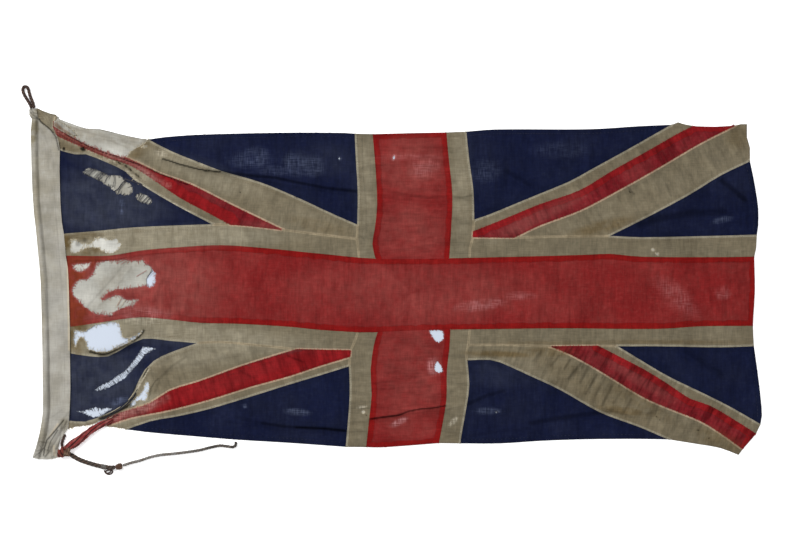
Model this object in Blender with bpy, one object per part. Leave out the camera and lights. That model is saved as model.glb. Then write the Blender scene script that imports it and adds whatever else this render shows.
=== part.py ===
"""A tattered national flag of sewn wool, laid flat, with its canvas heading, becket, knot and rope tail.

Metres, +Z up. The flag lies on the surface z = 0 with its hoist towards -X and its top towards +Y. The
origin is on that surface, under the middle of the red cross.

Places on the flag are read from its face-on photograph and written as photograph pixels, x to the right and
y down. One driving size, BUNTING_LENGTH, turns them into metres.
"""

import math

import bmesh
import bpy
from mathutils import Vector
from mathutils.geometry import delaunay_2d_cdt

# Driving sizes
BUNTING_LENGTH = 1.372  # heading's inner edge to fly: one and a half yards
CLOTH = 0.0012  # wool bunting
CANVAS = 0.0012  # backing patch
HEADING = 0.0030  # doubled canvas of the heading, where it is flat
ROPE_BULGE = 0.0095  # heading over the hoist rope
ROPE_RUN = 0.014  # width of the bulge, along the heading's outer edge
GAP = 0.0003  # between pieces that touch
BECKET_ROPE = 0.0066
TAIL_ROPE = 0.0084
THIN_CORD = 0.0058
SLEEVE_ROPE = 0.0060
TWISTED_END = 0.012  # torn red strip, where it is twisted
TWINE = 0.0018
TAB = 0.0018
TAB_CREASE = 0.5  # share of the heading's creases that the tab over it shows
SEIZING_RADIUS = 0.0066

# How finely the pieces are divided
SEAM_STEP = 0.026
CREASE_STEP = 0.020
TEAR_STEP = 0.009
GRID = 0.034
EDGE_CLEAR = 0.0045  # least distance from a point inside a sheet to its edges
POINTS_APART = 0.006
ROPE_STEP = 1.5  # diameters between a rope's sections
ROPE_ROUNDNESS = 2
SHARPEST_CORNER = 0.16  # limits how far a pointed corner is drawn in

# The photograph's pixels
BUNTING_PX = (60.0, 757.0)  # x of the heading's inner edge and of the fly
CENTRE_PX = (412.0, 293.0)  # middle of the red cross
PIXEL = BUNTING_LENGTH / (BUNTING_PX[1] - BUNTING_PX[0])

# How high the wool lies where the patch is under it, and how far past the patch it stays up
OVER_PATCH = CANVAS + GAP
PATCH_LIP = 0.042
PATCH_RAMP = 0.030

# Seams and edges, each from one corner of a panel to the next
SEAMS = {
    # top edge, hoist to fly
    "top_navy_uh": [(148, 139.5), (165, 137), (200, 134.5), (290, 132.5), (345, 132.8), (355, 133.5)],
    "top_vert_ul": [(355, 133.5), (373, 134)],
    "top_arm": [(373, 134), (410, 133), (446, 132.3)],
    "top_vert_ur": [(446, 132.3), (466, 131.5)],
    "top_navy_uf": [(466, 131.5), (495, 129.3), (590, 129), (640, 126), (672, 124.6)],
    "top_narrow_uf": [(672, 124.6), (678, 122.2), (685, 124.3), (694, 126)],
    "top_red_uf": [(694, 126), (715, 126.6), (735, 125.4)],
    "top_wide_uf": [(735, 125.4), (741, 124), (747, 124)],
    # fly edge, top to bottom
    "fly_wide_uf": [(747, 124), (747, 137), (750, 148), (750, 161)],
    "fly_outer_uf": [(750, 161), (754, 180), (758.3, 208), (758.3, 226), (757, 235)],
    "fly_border_uf": [(757, 235), (756.3, 248), (754.3, 257)],
    "fly_band": [(754.3, 257), (755, 290), (753.5, 316), (753, 325.5)],
    "fly_border_lf": [(753, 325.5), (753.4, 336), (754, 346)],
    "fly_outer_lf": [(754, 346), (757, 367), (761, 400), (762, 416), (760.5, 424.5)],
    "fly_narrow_lf": [(760.5, 424.5), (756, 434)],
    "fly_red_lf": [(756, 434), (750, 441), (743, 449)],
    "fly_wide_lf": [(743, 449), (738.5, 455)],
    # bottom edge, fly to hoist
    "bottom_wide_lf": [(738.5, 455), (720, 448), (700, 444.5), (669, 439.5)],
    "bottom_navy_lf": [(669, 439.5), (630, 439), (580, 439.5), (540, 441), (500, 443.5), (460, 443.5)],
    "bottom_vert_lr": [(460, 443.5), (438.5, 443.2)],
    "bottom_arm": [(438.5, 443.2), (410, 445.5), (380, 447.5), (366.5, 447.2)],
    "bottom_vert_ll": [(366.5, 447.2), (346, 447)],
    "bottom_outer_lh": [(346, 447), (290, 443), (240, 440), (190, 436), (150, 432.5), (126, 429.5)],
    "bottom_narrow_lh": [(126, 429.5), (112, 427.5), (104, 426.4)],
    # sides of the upper arm and its white borders
    "vert_ul_outer": [(355, 133.5), (356.5, 165), (358, 190), (357.5, 225)],
    "vert_ul_wide": [(357.5, 225), (357, 239)],
    "vert_ul_border": [(357, 239), (359, 258)],
    "arm_ul": [(373, 134), (376, 170), (377.5, 205), (375, 230), (372.7, 244), (376, 259)],
    "arm_ur": [(446, 132.3), (448, 155), (452, 195), (451, 225), (448.8, 258.6)],
    "vert_ur_navy": [(466, 131.5), (469, 160), (473, 190), (474, 220)],
    "vert_ur_narrow": [(474, 220), (473.3, 231.5)],
    "vert_ur_red": [(473.3, 231.5), (473, 237)],
    "vert_ur_border": [(473, 237), (470, 248), (469.5, 258.2)],
    # sides of the lower arm and its white borders
    "vert_ll_border": [(358, 332), (354, 343), (350.5, 350.5)],
    "vert_ll_red": [(350.5, 350.5), (350, 356.5)],
    "vert_ll_narrow": [(350, 356.5), (349.2, 366)],
    "vert_ll_outer": [(349.2, 366), (350, 385), (349.5, 405), (346, 447)],
    "arm_ll": [(378, 332), (374, 346), (371, 370), (372, 395), (370, 415), (366.5, 447.2)],
    "arm_lr": [(450, 329.2), (449, 348), (446.5, 370), (446, 400), (442, 425), (438.5, 443.2)],
    "vert_lr_border": [(470, 329), (468, 345)],
    "vert_lr_wide": [(468, 345), (466, 354), (467, 360)],
    "vert_lr_navy": [(467, 360), (469, 385), (466, 408), (462, 430), (460, 443.5)],
    # upper edge of the red cross, hoist to fly
    "band_top_uh": [
        (66, 256), (110, 256), (140, 251), (180, 247.5), (220, 245.5), (260, 248), (300, 252), (359, 258)],
    "band_top_ul": [(359, 258), (376, 259)],
    "band_top_arm": [(376, 259), (412, 259), (448.8, 258.6)],
    "band_top_ur": [(448.8, 258.6), (469.5, 258.2)],
    "band_top_uf": [
        (469.5, 258.2), (540, 256.5), (590, 255), (610, 254.2), (640, 257), (720, 257.5), (754.3, 257)],
    # lower edge of the red cross, fly to hoist
    "band_low_lf": [(753, 325.5), (700, 326), (660, 328.5), (560, 328), (470, 329)],
    "band_low_lr": [(470, 329), (450, 329.2)],
    "band_low_arm": [(450, 329.2), (414, 330.4), (378, 332)],
    "band_low_ll": [(378, 332), (358, 332)],
    "band_low_lh": [
        (358, 332), (320, 329.5), (290, 326.5), (240, 323.5), (200, 322.5), (168, 319), (140, 317),
        (110, 320.5), (88, 324), (70, 326.5)],
    # outer edges of the cross's four horizontal white borders
    "border_uh_navy": [(64, 234), (100, 231), (130, 228), (170, 226), (213, 224.5)],
    "border_uh_narrow": [(213, 224.5), (230, 224.5)],
    "border_uh_red": [(230, 224.5), (250, 226), (282, 229.7)],
    "border_uh_wide": [(282, 229.7), (320, 234.5), (357, 239)],
    "border_uf_red": [(473, 237), (514, 237.5)],
    "border_uf_wide": [(514, 237.5), (560, 236.5), (609, 236)],
    "border_uf_outer": [(609, 236), (640, 237.5), (700, 236.5), (757, 235)],
    "border_lh_red": [(350.5, 350.5), (320, 350), (297, 349.3)],
    "border_lh_wide": [(297, 349.3), (260, 345.5), (220, 342), (198, 343)],
    "border_lh_navy": [(198, 343), (170, 340.5), (143, 338.5), (125, 347), (108, 356), (90, 356), (70, 353)],
    "border_lf_wide": [(468, 345), (510, 345), (551, 346.5)],
    "border_lf_red": [(551, 346.5), (598, 346)],
    "border_lf_narrow": [(598, 346), (617, 346)],
    "border_lf_outer": [(617, 346), (660, 346), (720, 347), (754, 346)],
    # saltire, upper hoist
    "uh_wide_navy": [
        (148, 139.5), (170, 151), (200, 163), (222, 171.5), (260, 182.5), (300, 199), (330, 213),
        (357.5, 225)],
    "uh_wide_torn": [(148, 139.5), (145, 143), (136, 148), (131, 151.5), (126, 157.7)],
    "uh_red_free": [
        (53.6, 121.4), (57, 126), (63, 131.3), (72, 137), (90, 146), (110, 153), (126, 157.7)],
    "uh_red_wide": [
        (126, 157.7), (140, 164), (160, 174), (190, 184.5), (230, 204.5), (282, 229.7)],
    "uh_red_narrow": [
        (57, 135.5), (80, 146), (110, 158.5), (130, 165), (150, 177), (180, 197.5), (210, 213.5),
        (230, 224.5)],
    "uh_narrow_navy": [
        (60, 150), (75, 154), (86, 154), (110, 163.5), (125, 171), (135, 180), (170, 201.5), (213, 224.5)],
    # saltire, upper fly
    "uf_navy_narrow": [
        (474, 220), (490, 214.5), (530, 198), (570, 181.5), (590, 170.5), (630, 148.5), (672, 124.6)],
    "uf_narrow_red": [
        (473.3, 231.5), (500, 221), (540, 204.5), (580, 190.5), (610, 172.5), (650, 150), (680, 132.8),
        (694, 126)],
    "uf_red_wide": [
        (514, 237.5), (540, 225), (580, 210), (620, 189), (660, 166.5), (700, 143), (735, 125.4)],
    "uf_wide_outer": [(609, 236), (650, 215.5), (690, 194), (720, 175.5), (750, 161)],
    # saltire, lower hoist
    "lh_navy_wide": [
        (69, 421), (85, 422), (95, 419), (110, 412.5), (120, 408), (128, 402), (136, 387), (145, 370),
        (154, 361), (170, 353), (198, 343)],
    "lh_wide_free": [(99.5, 421.3), (93, 424.8), (85, 426), (74, 427.5), (68, 429)],
    "lh_wide_red": [
        (297, 349.3), (270, 357.5), (240, 367), (200, 381.5), (170, 391), (150, 403.5), (120, 413),
        (99.5, 421.3)],
    "lh_red_narrow": [
        (350, 356.5), (320, 365.5), (290, 375.5), (250, 386.5), (210, 399), (170, 409.5), (130, 417.5),
        (104, 426.4)],
    "lh_red_torn": [(104, 426.4), (99.5, 421.3)],
    "lh_narrow_outer": [
        (349.2, 366), (320, 375), (290, 384), (250, 396.5), (210, 408.5), (180, 415.5), (150, 421),
        (126, 429.5)],
    # saltire, lower fly
    "lf_wide_navy": [
        (467, 360), (490, 359.5), (500, 362), (530, 375.5), (560, 389.5), (600, 412), (640, 427),
        (669, 439.5)],
    "lf_wide_red": [
        (551, 346.5), (570, 354), (600, 370.5), (640, 395), (660, 404.5), (700, 420.5), (720, 432.5),
        (743, 449)],
    "lf_red_narrow": [
        (598, 346), (622, 358.3), (645, 370.3), (667, 383.8), (690, 399), (710, 406), (740, 423.7),
        (756, 434)],
    "lf_narrow_outer": [(617, 346), (640, 360), (668, 376.5), (700, 392), (730, 407), (760.5, 424.5)],
    # heading's inner edge, top to bottom
    "tab_outer": [(57, 118), (55.6, 119.6), (53.6, 121.4)],
    "tab_red": [(53.6, 121.4), (53, 127), (57, 135.5)],
    "hoist_narrow_uh": [(57, 135.5), (58.6, 141), (60, 150)],
    "hoist_navy_uh": [(60, 150), (59.7, 170), (60.5, 200), (62, 222), (64, 234)],
    "hoist_border_uh": [(64, 234), (65.2, 247), (66, 256)],
    "hoist_band": [(66, 256), (68, 268), (69, 290), (70, 326.5)],
    "hoist_border_lh": [(70, 326.5), (70, 353)],
    "hoist_navy_lh": [(70, 353), (70.5, 385), (70, 405), (69, 421)],
    "hoist_wide_lh": [(69, 421), (68, 429)],
    "heading_free": [(68, 429), (64.5, 434), (60.5, 441), (58.6, 448), (58.6, 457.3)],
    "heading_tab": [(36.8, 108.4), (38, 117), (41, 122), (50, 129.8), (57, 135.5)],
    "heading_foot": [(58.6, 457.3), (52, 459.3), (46, 459.5), (40, 459), (32.5, 457.5)],
    "heading_outer": [
        (32.5, 457.5), (36, 447), (40, 432), (43, 412), (42.8, 380), (42.3, 340), (40.6, 280), (37, 240),
        (33, 200), (31, 145), (31, 130), (32, 119)],
    "heading_head": [(32, 119), (29.8, 115), (29.2, 111), (29.6, 108.4)],
    "heading_mouth": [(29.6, 108.4), (36.8, 108.4)],
    "tab_head": [(36.8, 108.4), (42, 111), (50, 114), (55.5, 115), (57, 118)],
    # patch
    "patch_top": [(57, 118), (70, 123), (86, 128.3), (100, 129), (120, 134), (140, 138.3), (146.5, 139)],
    "patch_hidden": [
        (146.5, 139), (155, 170), (158, 205), (155, 245), (152, 270), (146.5, 279), (147, 287), (140, 305),
        (129, 314), (100, 316), (69.8, 316)],
    "patch_hoist": [
        (69.8, 316), (69, 290), (68, 268), (66, 256), (64, 234), (62, 222), (60.5, 200), (59.7, 170),
        (60, 150), (58.6, 141), (57, 135.5), (57, 118)],
}

# Panels: the seams round each, in order; a minus sign runs a seam backwards
PANELS = {
    "navy_upper_hoist_outer": ["top_navy_uh", "vert_ul_outer", "-uh_wide_navy"],
    "navy_upper_hoist_inner": ["uh_narrow_navy", "-border_uh_navy", "-hoist_navy_uh"],
    "navy_upper_fly_inner": ["top_navy_uf", "-uf_navy_narrow", "-vert_ur_navy"],
    "navy_upper_fly_outer": ["uf_wide_outer", "fly_outer_uf", "-border_uf_outer"],
    "navy_lower_hoist_inner": ["-border_lh_navy", "-lh_navy_wide", "-hoist_navy_lh"],
    "navy_lower_hoist_outer": ["-lh_narrow_outer", "vert_ll_outer", "bottom_outer_lh"],
    "navy_lower_fly_inner": ["lf_wide_navy", "bottom_navy_lf", "-vert_lr_navy"],
    "navy_lower_fly_outer": ["border_lf_outer", "fly_outer_lf", "-lf_narrow_outer"],
    "wide_white_upper_hoist": [
        "uh_wide_navy", "vert_ul_wide", "-border_uh_wide", "-uh_red_wide", "-uh_wide_torn"],
    "wide_white_upper_fly": [
        "uf_red_wide", "top_wide_uf", "fly_wide_uf", "-uf_wide_outer", "-border_uf_wide"],
    "wide_white_lower_hoist": [
        "-border_lh_wide", "lh_wide_red", "lh_wide_free", "-hoist_wide_lh", "lh_navy_wide"],
    "wide_white_lower_fly": [
        "border_lf_wide", "lf_wide_red", "fly_wide_lf", "bottom_wide_lf", "-lf_wide_navy", "-vert_lr_wide"],
    "narrow_white_upper_hoist": ["uh_red_narrow", "-border_uh_narrow", "-uh_narrow_navy", "-hoist_narrow_uh"],
    "narrow_white_upper_fly": ["uf_navy_narrow", "top_narrow_uf", "-uf_narrow_red", "-vert_ur_narrow"],
    "narrow_white_lower_hoist": [
        "lh_red_narrow", "-bottom_narrow_lh", "-lh_narrow_outer", "-vert_ll_narrow"],
    "narrow_white_lower_fly": ["border_lf_narrow", "lf_narrow_outer", "fly_narrow_lf", "-lf_red_narrow"],
    "red_strip_upper_hoist": [
        "uh_red_free", "uh_red_wide", "-border_uh_red", "-uh_red_narrow", "-tab_red"],
    "red_strip_upper_fly": ["uf_narrow_red", "top_red_uf", "-uf_red_wide", "-border_uf_red", "-vert_ur_red"],
    "red_strip_lower_hoist": [
        "-border_lh_red", "vert_ll_red", "lh_red_narrow", "lh_red_torn", "-lh_wide_red"],
    "red_strip_lower_fly": ["border_lf_red", "lf_red_narrow", "fly_red_lf", "-lf_wide_red"],
    "border_upper_hoist": [
        "border_uh_navy", "border_uh_narrow", "border_uh_red", "border_uh_wide", "vert_ul_border",
        "-band_top_uh", "-hoist_border_uh"],
    "border_upper_fly": [
        "border_uf_red", "border_uf_wide", "border_uf_outer", "fly_border_uf", "-band_top_uf",
        "-vert_ur_border"],
    "border_lower_hoist": [
        "-band_low_lh", "vert_ll_border", "border_lh_red", "border_lh_wide", "border_lh_navy",
        "-hoist_border_lh"],
    "border_lower_fly": [
        "-band_low_lf", "fly_border_lf", "-border_lf_outer", "-border_lf_narrow", "-border_lf_red",
        "-border_lf_wide", "-vert_lr_border"],
    "arm_border_upper_left": [
        "top_vert_ul", "arm_ul", "-band_top_ul", "-vert_ul_border", "-vert_ul_wide", "-vert_ul_outer"],
    "arm_border_upper_right": [
        "top_vert_ur", "vert_ur_navy", "vert_ur_narrow", "vert_ur_red", "vert_ur_border", "-band_top_ur",
        "-arm_ur"],
    "arm_border_lower_left": [
        "-band_low_ll", "arm_ll", "bottom_vert_ll", "-vert_ll_outer", "-vert_ll_narrow", "-vert_ll_red",
        "-vert_ll_border"],
    "arm_border_lower_right": [
        "-band_low_lr", "vert_lr_border", "vert_lr_wide", "vert_lr_navy", "bottom_vert_lr", "-arm_lr"],
    "red_arm_upper": ["top_arm", "arm_ur", "-band_top_arm", "-arm_ul"],
    "red_arm_lower": ["-band_low_arm", "arm_lr", "bottom_arm", "-arm_ll"],
    "red_cross_band": [
        "band_top_uh", "band_top_ul", "band_top_arm", "band_top_ur", "band_top_uf", "fly_band", "band_low_lf",
        "band_low_lr", "band_low_arm", "band_low_ll", "band_low_lh", "-hoist_band"],
}

# Holes torn or worn through the panels
HOLES = {
    "navy_upper_hoist_inner": [
        [(83, 172), (88, 169), (95, 169), (101, 172), (113, 174.5), (120, 176), (127, 181), (133, 189),
         (133, 194), (128, 195), (115, 190), (105, 184), (95, 178)],
        [(135.5, 196), (140, 193), (148, 196), (153, 201), (152, 203), (146, 203.6), (140, 201)],
    ],
    "navy_upper_hoist_outer": [
        [(338.3, 158.5), (339.5, 157.2), (340.8, 158.5), (339.5, 159.8)],
    ],
    "navy_lower_hoist_inner": [
        [(140, 350), (144, 347), (155, 349), (147, 354), (139, 361), (133, 367), (123, 374), (114, 381),
         (104, 387), (98, 390), (95, 388), (108, 381), (117, 376), (123, 370), (131, 364)],
        [(76, 411), (88, 410), (97, 407), (104, 408.3), (109.5, 409.2), (107, 411), (103, 413), (98, 415.3),
         (93, 417), (83, 414)],
    ],
    "navy_lower_fly_inner": [
        [(494.8, 412), (496.5, 410.9), (498.2, 412), (496.5, 413.2)],
    ],
    "border_upper_hoist": [
        [(71, 240), (75, 239), (78, 242), (85, 243), (92, 240), (100, 236.5), (112, 239.5), (122, 243),
         (118, 250), (112, 253.3), (105, 253), (100, 249), (83, 248.5), (80, 251), (75, 253), (69, 252.5),
         (68.3, 249), (71, 245)],
    ],
    "border_lower_hoist": [
        [(75, 347), (73.5, 340), (75, 333), (77.5, 329), (85, 331), (93, 326.5), (104, 324.5), (113, 322.5),
         (118, 322.3), (119.5, 326), (121, 331), (125, 338), (134, 337), (138, 333.5), (143, 328.5),
         (141, 332.5), (135, 337.6), (123, 343.5), (108, 350.5), (97, 351.3), (89, 349.5), (85, 342),
         (80, 337.5), (78, 342), (77, 347)],
    ],
    "red_cross_band": [
        [(71, 264), (80, 263), (87, 262), (91, 262.5), (88, 267), (80, 271.5), (75, 271), (72, 267.5)],
        [(98, 264), (110, 260.5), (125, 258), (135, 260), (140, 261), (142, 257.6), (144, 261), (151, 268),
         (154.5, 273), (156, 283), (151, 288), (133, 286.5), (125, 289), (111, 290.5), (104, 295),
         (101, 298.5), (106, 296), (117, 295), (124, 299), (138, 299.5), (131, 307), (120, 309),
         (107, 315.6), (93, 314.5), (85, 310), (75, 299), (72.3, 292), (74, 285), (81, 279), (88, 278),
         (97, 272)],
    ],
    "wide_white_upper_hoist": [
        [(141, 147), (144, 145.2), (147.2, 145.4), (147, 147), (144, 148)],
    ],
    "wide_white_lower_hoist": [
        [(148, 382), (148, 392), (145, 399.5), (137, 404), (130.5, 406.3), (136, 400), (142, 392)],
    ],
    "red_arm_lower": [
        [(429.6, 330.6), (436, 330.5), (441.5, 330.4), (444, 335.5), (442.3, 340.3), (438.5, 342.5),
         (434.6, 340.5)],
        [(437, 361.5), (440.5, 365), (442.6, 371.5), (438.5, 373), (434, 369)],
    ],
}

# The torn rag of stained wool over the patch
RAG = [(58.5, 121.6), (64, 124.7), (72, 130), (77, 135), (73, 135.4), (66, 131.4), (60.3, 126.4)]

# Folds and rolled edges: the crest's line, its height and its half-width, in metres
FOLDS = [
    # storage fold from the torn corner through the upper arm
    ([(163, 159), (190, 167), (222, 172), (260, 178), (290, 184), (330, 189)], 0.0035, 0.010),
    ([(357, 190), (385, 194), (412, 197), (447, 198), (473, 196)], 0.0020, 0.012),
    # storage fold along the lower edge, sharp in the lower arm
    ([(230, 419), (280, 426), (335, 430)], 0.0022, 0.012),
    ([(349, 421), (368, 418.5), (385, 417), (412, 411), (430, 409.5), (458, 407)], 0.0032, 0.010),
    # fly corners
    ([(675, 352), (697, 362), (720, 375)], 0.0020, 0.010),
    ([(505, 170), (518, 178), (530, 185)], 0.0016, 0.010),
    ([(725, 183), (742, 197)], 0.0018, 0.009),
    ([(640, 405), (690, 428), (728, 446)], 0.0020, 0.011),
    # rolled and lifted torn edges at the hoist
    ([(100, 354), (118, 351), (137, 341)], 0.0045, 0.008),
    ([(112, 160), (126, 168), (138, 180)], 0.0030, 0.008),
    ([(104, 416), (118, 410.5), (133, 404)], 0.0040, 0.008),
    ([(150, 262), (160, 280), (152, 300)], 0.0025, 0.010),
    ([(116, 341), (127, 335)], 0.0020, 0.008),
    # loose wool between the tear and the fold
    ([(150, 372), (190, 362), (240, 352)], 0.0025, 0.012),
]

# Creases of the heading's canvas
HEADING_CREASES = [
    ([(36, 112), (45, 124), (54, 137)], 0.0022, 0.006),
    ([(33, 117), (41, 133), (50, 150)], 0.0018, 0.006),
    ([(45, 455), (54, 438), (65, 421)], 0.0026, 0.006),
    ([(52, 456), (57, 444), (62, 436)], 0.0022, 0.005),
]

# Routes of the ropes and cords, hand-placed, and how far a route's point is lifted off the surface
BECKET_ROUTE = [
    (31.3, 108.3), (31.1, 106.6), (29.7, 103.6), (27.7, 100.3), (25.3, 96.5), (23.4, 92.5), (23.0, 89.5),
    (24.1, 87.1), (26.3, 86.7), (28.0, 88.3), (29.0, 91.5), (30.2, 95.3), (31.9, 99.2), (33.9, 103),
    (34.9, 106.4), (35.0, 108.3)]
SLEEVE_ROUTE = [(66.2, 434.3), (64.3, 437.7), (62.7, 440.9), (61.9, 444.0), (62.5, 445.6)]
STRIP_TAIL_ROUTE = [
    (105.5, 422.6), (101.5, 424.2), (97.0, 426.8), (91.5, 430.3), (86.0, 434.4), (80.5, 438.8), (75.0, 442.8),
    (69.5, 446.4), (66.5, 449.6), (65.3, 452.0), (64.2, 455.4)]
STRIP_TAIL_RADIUS = [0.0010, 0.0042, 0.0058, 0.0062, 0.0070, 0.0078, 0.0076, 0.0072, 0.0098, 0.0112, 0.0070]
ROPE_TAIL_ROUTE = [
    (70.3, 454.0), (74.6, 457.0), (79, 459.6), (84, 461.7), (90, 463.8), (98, 466.0), (106, 467.5),
    (111, 467.9), (115.6, 467.3)]
ROPE_TAIL_LIFT = {7: 0.0012, 8: 0.0024}
THIN_CORD_ROUTE = [
    (123.0, 465.3), (130, 463.0), (140, 460.5), (150, 457.2), (160, 455.0), (172, 453.8), (186, 452.2),
    (200, 450.0), (210, 447.5), (220, 445.6), (228, 446.4), (233, 446.9), (235.6, 445.2), (235.8, 441.6)]
THIN_CORD_LIFT = {0: 0.0037, 1: 0.0010}
SEIZING_PX = ((116.0, 467.2), (122.6, 465.4))
TWINE_RING_PX = (108.4, 472.05)
TWINE_RING_SIZE = (0.0088, 0.0050)

# The seizing's turned outline: distance from its axis, and place along it, as parts of its radius and length
SEIZING_PROFILE = [
    (0.0, 0.0), (0.35, 0.0), (0.72, 0.06), (1.0, 0.22), (0.84, 0.36), (1.0, 0.50), (0.84, 0.64),
    (0.98, 0.78), (0.7, 0.94), (0.3, 1.0), (0.0, 1.0)]

# Colours: linear red, green and blue, then roughness
FINISHES = {
    "navy_wool": ((0.013, 0.016, 0.045), 0.90),
    "white_wool": ((0.29, 0.25, 0.17), 0.92),
    "red_wool": ((0.26, 0.017, 0.020), 0.90),
    "stained_wool": ((0.16, 0.12, 0.06), 0.95),
    "heading_canvas": ((0.44, 0.41, 0.35), 0.90),
    "tab_canvas": ((0.36, 0.35, 0.32), 0.90),
    "patch_canvas": ((0.52, 0.47, 0.38), 0.90),
    "dark_rope": ((0.045, 0.022, 0.017), 0.85),
    "tail_rope": ((0.13, 0.11, 0.085), 0.90),
}


def place(pixel):
    """Where a photograph pixel lies on the surface, in metres."""
    return Vector(((pixel[0] - CENTRE_PX[0]) * PIXEL, (CENTRE_PX[1] - pixel[1]) * PIXEL))


def curve_through(points, step, closed=False):
    """A smooth line through every point, with extra ones no more than step apart."""
    count = len(points)
    last = count if closed else count - 1
    line = []
    for i in range(last):
        here = points[i]
        there = points[(i + 1) % count]
        before = points[i - 1] if closed or i else here
        after = points[(i + 2) % count] if closed or i + 2 < count else there
        length = (there - here).length
        leave = (there - before) * (length / max((here - before).length + length, 1e-9))
        arrive = (after - here) * (length / max((after - there).length + length, 1e-9))
        pieces = max(1, math.ceil(length / step))
        for k in range(pieces):
            t = k / pieces
            line.append(
                here * (2 * t**3 - 3 * t**2 + 1)
                + leave * (t**3 - 2 * t**2 + t)
                + there * (3 * t**2 - 2 * t**3)
                + arrive * (t**3 - t**2)
            )
    if not closed:
        line.append(points[-1].copy())
    return line


def seam(name):
    """A seam's points, backwards where its name starts with a minus sign."""
    line = curve_through([place(pixel) for pixel in SEAMS[name.lstrip("-")]], SEAM_STEP)
    return line[::-1] if name.startswith("-") else line


def outline_of(names):
    """The closed outline of a panel from its seams."""
    loop = []
    for name in names:
        line = seam(name)
        if loop and (loop[-1] - line[0]).length > PIXEL:
            raise ValueError(f"{name} doesn't start where the seam before it ends")
        loop.extend(line[1:] if loop else line)
    if (loop[-1] - loop[0]).length > PIXEL:
        raise ValueError(f"{names[-1]} doesn't close the panel that starts with {names[0]}")
    return loop[:-1]


def hole_of(pixels):
    return curve_through([place(pixel) for pixel in pixels], TEAR_STEP, closed=True)


def turned(loop):
    """Twice the loop's area, positive where it runs anticlockwise."""
    return sum(a.x * b.y - b.x * a.y for a, b in zip(loop, loop[1:] + loop[:1]))


def drawn_in(loop, distance):
    """The loop moved inwards, so that neighbours along a seam stay apart."""
    if turned(loop) < 0:
        loop = loop[::-1]
    moved = []
    for i, here in enumerate(loop):
        before = (here - loop[i - 1]).normalized()
        after = (loop[(i + 1) % len(loop)] - here).normalized()
        inward = Vector((-before.y - after.y, before.x + after.x))
        if inward.length < 1e-6:
            inward = Vector((-before.y, before.x))
        inward.normalize()
        across = max(SHARPEST_CORNER, inward.dot(Vector((-before.y, before.x))))
        moved.append(here + inward * (distance / across))
    return moved


def inside(point, loops):
    """Whether a point is in the outline and in none of its holes."""
    found = False
    for loop in loops:
        for a, b in zip(loop, loop[1:] + loop[:1]):
            if (a.y > point.y) != (b.y > point.y):
                if point.x < a.x + (b.x - a.x) * (point.y - a.y) / (b.y - a.y):
                    found = not found
    return found


def distance_to(point, line):
    """How far a point is from a line of points."""
    nearest = math.inf
    for a, b in zip(line, line[1:]):
        run = b - a
        t = min(1.0, max(0.0, (point - a).dot(run) / max(run.length_squared, 1e-12)))
        nearest = min(nearest, (point - a - run * t).length)
    return nearest


def ease(t):
    t = min(1.0, max(0.0, t))
    return t * t * (3 - 2 * t)


def rise_of(point, folds):
    """How high the folds lift the cloth at a point."""
    rise = 0.0
    for line, height, width in folds:
        rise = max(rise, height * ease(1 - distance_to(point, line) / width))
    return rise


def folds_in_metres(folds):
    return [([place(pixel) for pixel in line], height, width) for line, height, width in folds]


WOOL_FOLDS = folds_in_metres(FOLDS)
CANVAS_CREASES = folds_in_metres(HEADING_CREASES)
PATCH_OUTLINE = outline_of(["patch_top", "patch_hidden", "patch_hoist"])
OUTER_EDGE = seam("heading_outer")


def wool_floor(point):
    """Height of the wool's underside: over the patch, on a fold, or on the surface."""
    away = 0.0 if inside(point, [PATCH_OUTLINE]) else distance_to(point, PATCH_OUTLINE + PATCH_OUTLINE[:1])
    over = OVER_PATCH * ease(1 - (away - PATCH_LIP) / PATCH_RAMP)
    return over + rise_of(point, WOOL_FOLDS)


def wool_top(point):
    return wool_floor(point) + CLOTH


def on_surface(point):
    return 0.0


def heading_top(point):
    """The heading's upper face, with the bulge of the hoist rope and the canvas's creases."""
    along_rope = distance_to(point, OUTER_EDGE) / (ROPE_RUN / 2) - 1
    bulge = (ROPE_BULGE - HEADING) * math.sqrt(max(0.0, 1 - along_rope**2))
    return HEADING + max(bulge, rise_of(point, CANVAS_CREASES))


def tab_top(point):
    return TAB + rise_of(point, CANVAS_CREASES) * TAB_CREASE


def patch_top(point):
    return CANVAS


def rows_along(line, offsets, step):
    """Rows of points beside a line, at each distance from it."""
    rows = []
    dense = curve_through(line, step)
    for i, here in enumerate(dense):
        run = dense[min(i + 1, len(dense) - 1)] - dense[max(i - 1, 0)]
        side = Vector((-run.y, run.x)).normalized()
        rows.extend(here + side * offset for offset in offsets)
    return rows


def spread_points(loops, wanted):
    """The wanted points that lie inside the loops, clear of their edges and of each other."""
    edges = [loop + loop[:1] for loop in loops]
    kept = []
    for point in wanted:
        if not inside(point, loops):
            continue
        if min(distance_to(point, edge) for edge in edges) < EDGE_CLEAR:
            continue
        if any((point - other).length < POINTS_APART for other in kept):
            continue
        kept.append(point)
    return kept


def grid_points(loop, pitch):
    left = min(point.x for point in loop)
    right = max(point.x for point in loop)
    low = min(point.y for point in loop)
    high = max(point.y for point in loop)
    columns = range(math.floor(left / pitch), math.ceil(right / pitch) + 1)
    rows = range(math.floor(low / pitch), math.ceil(high / pitch) + 1)
    return [Vector(((i + 0.5 * (j % 2)) * pitch, j * pitch)) for i in columns for j in rows]


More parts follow.
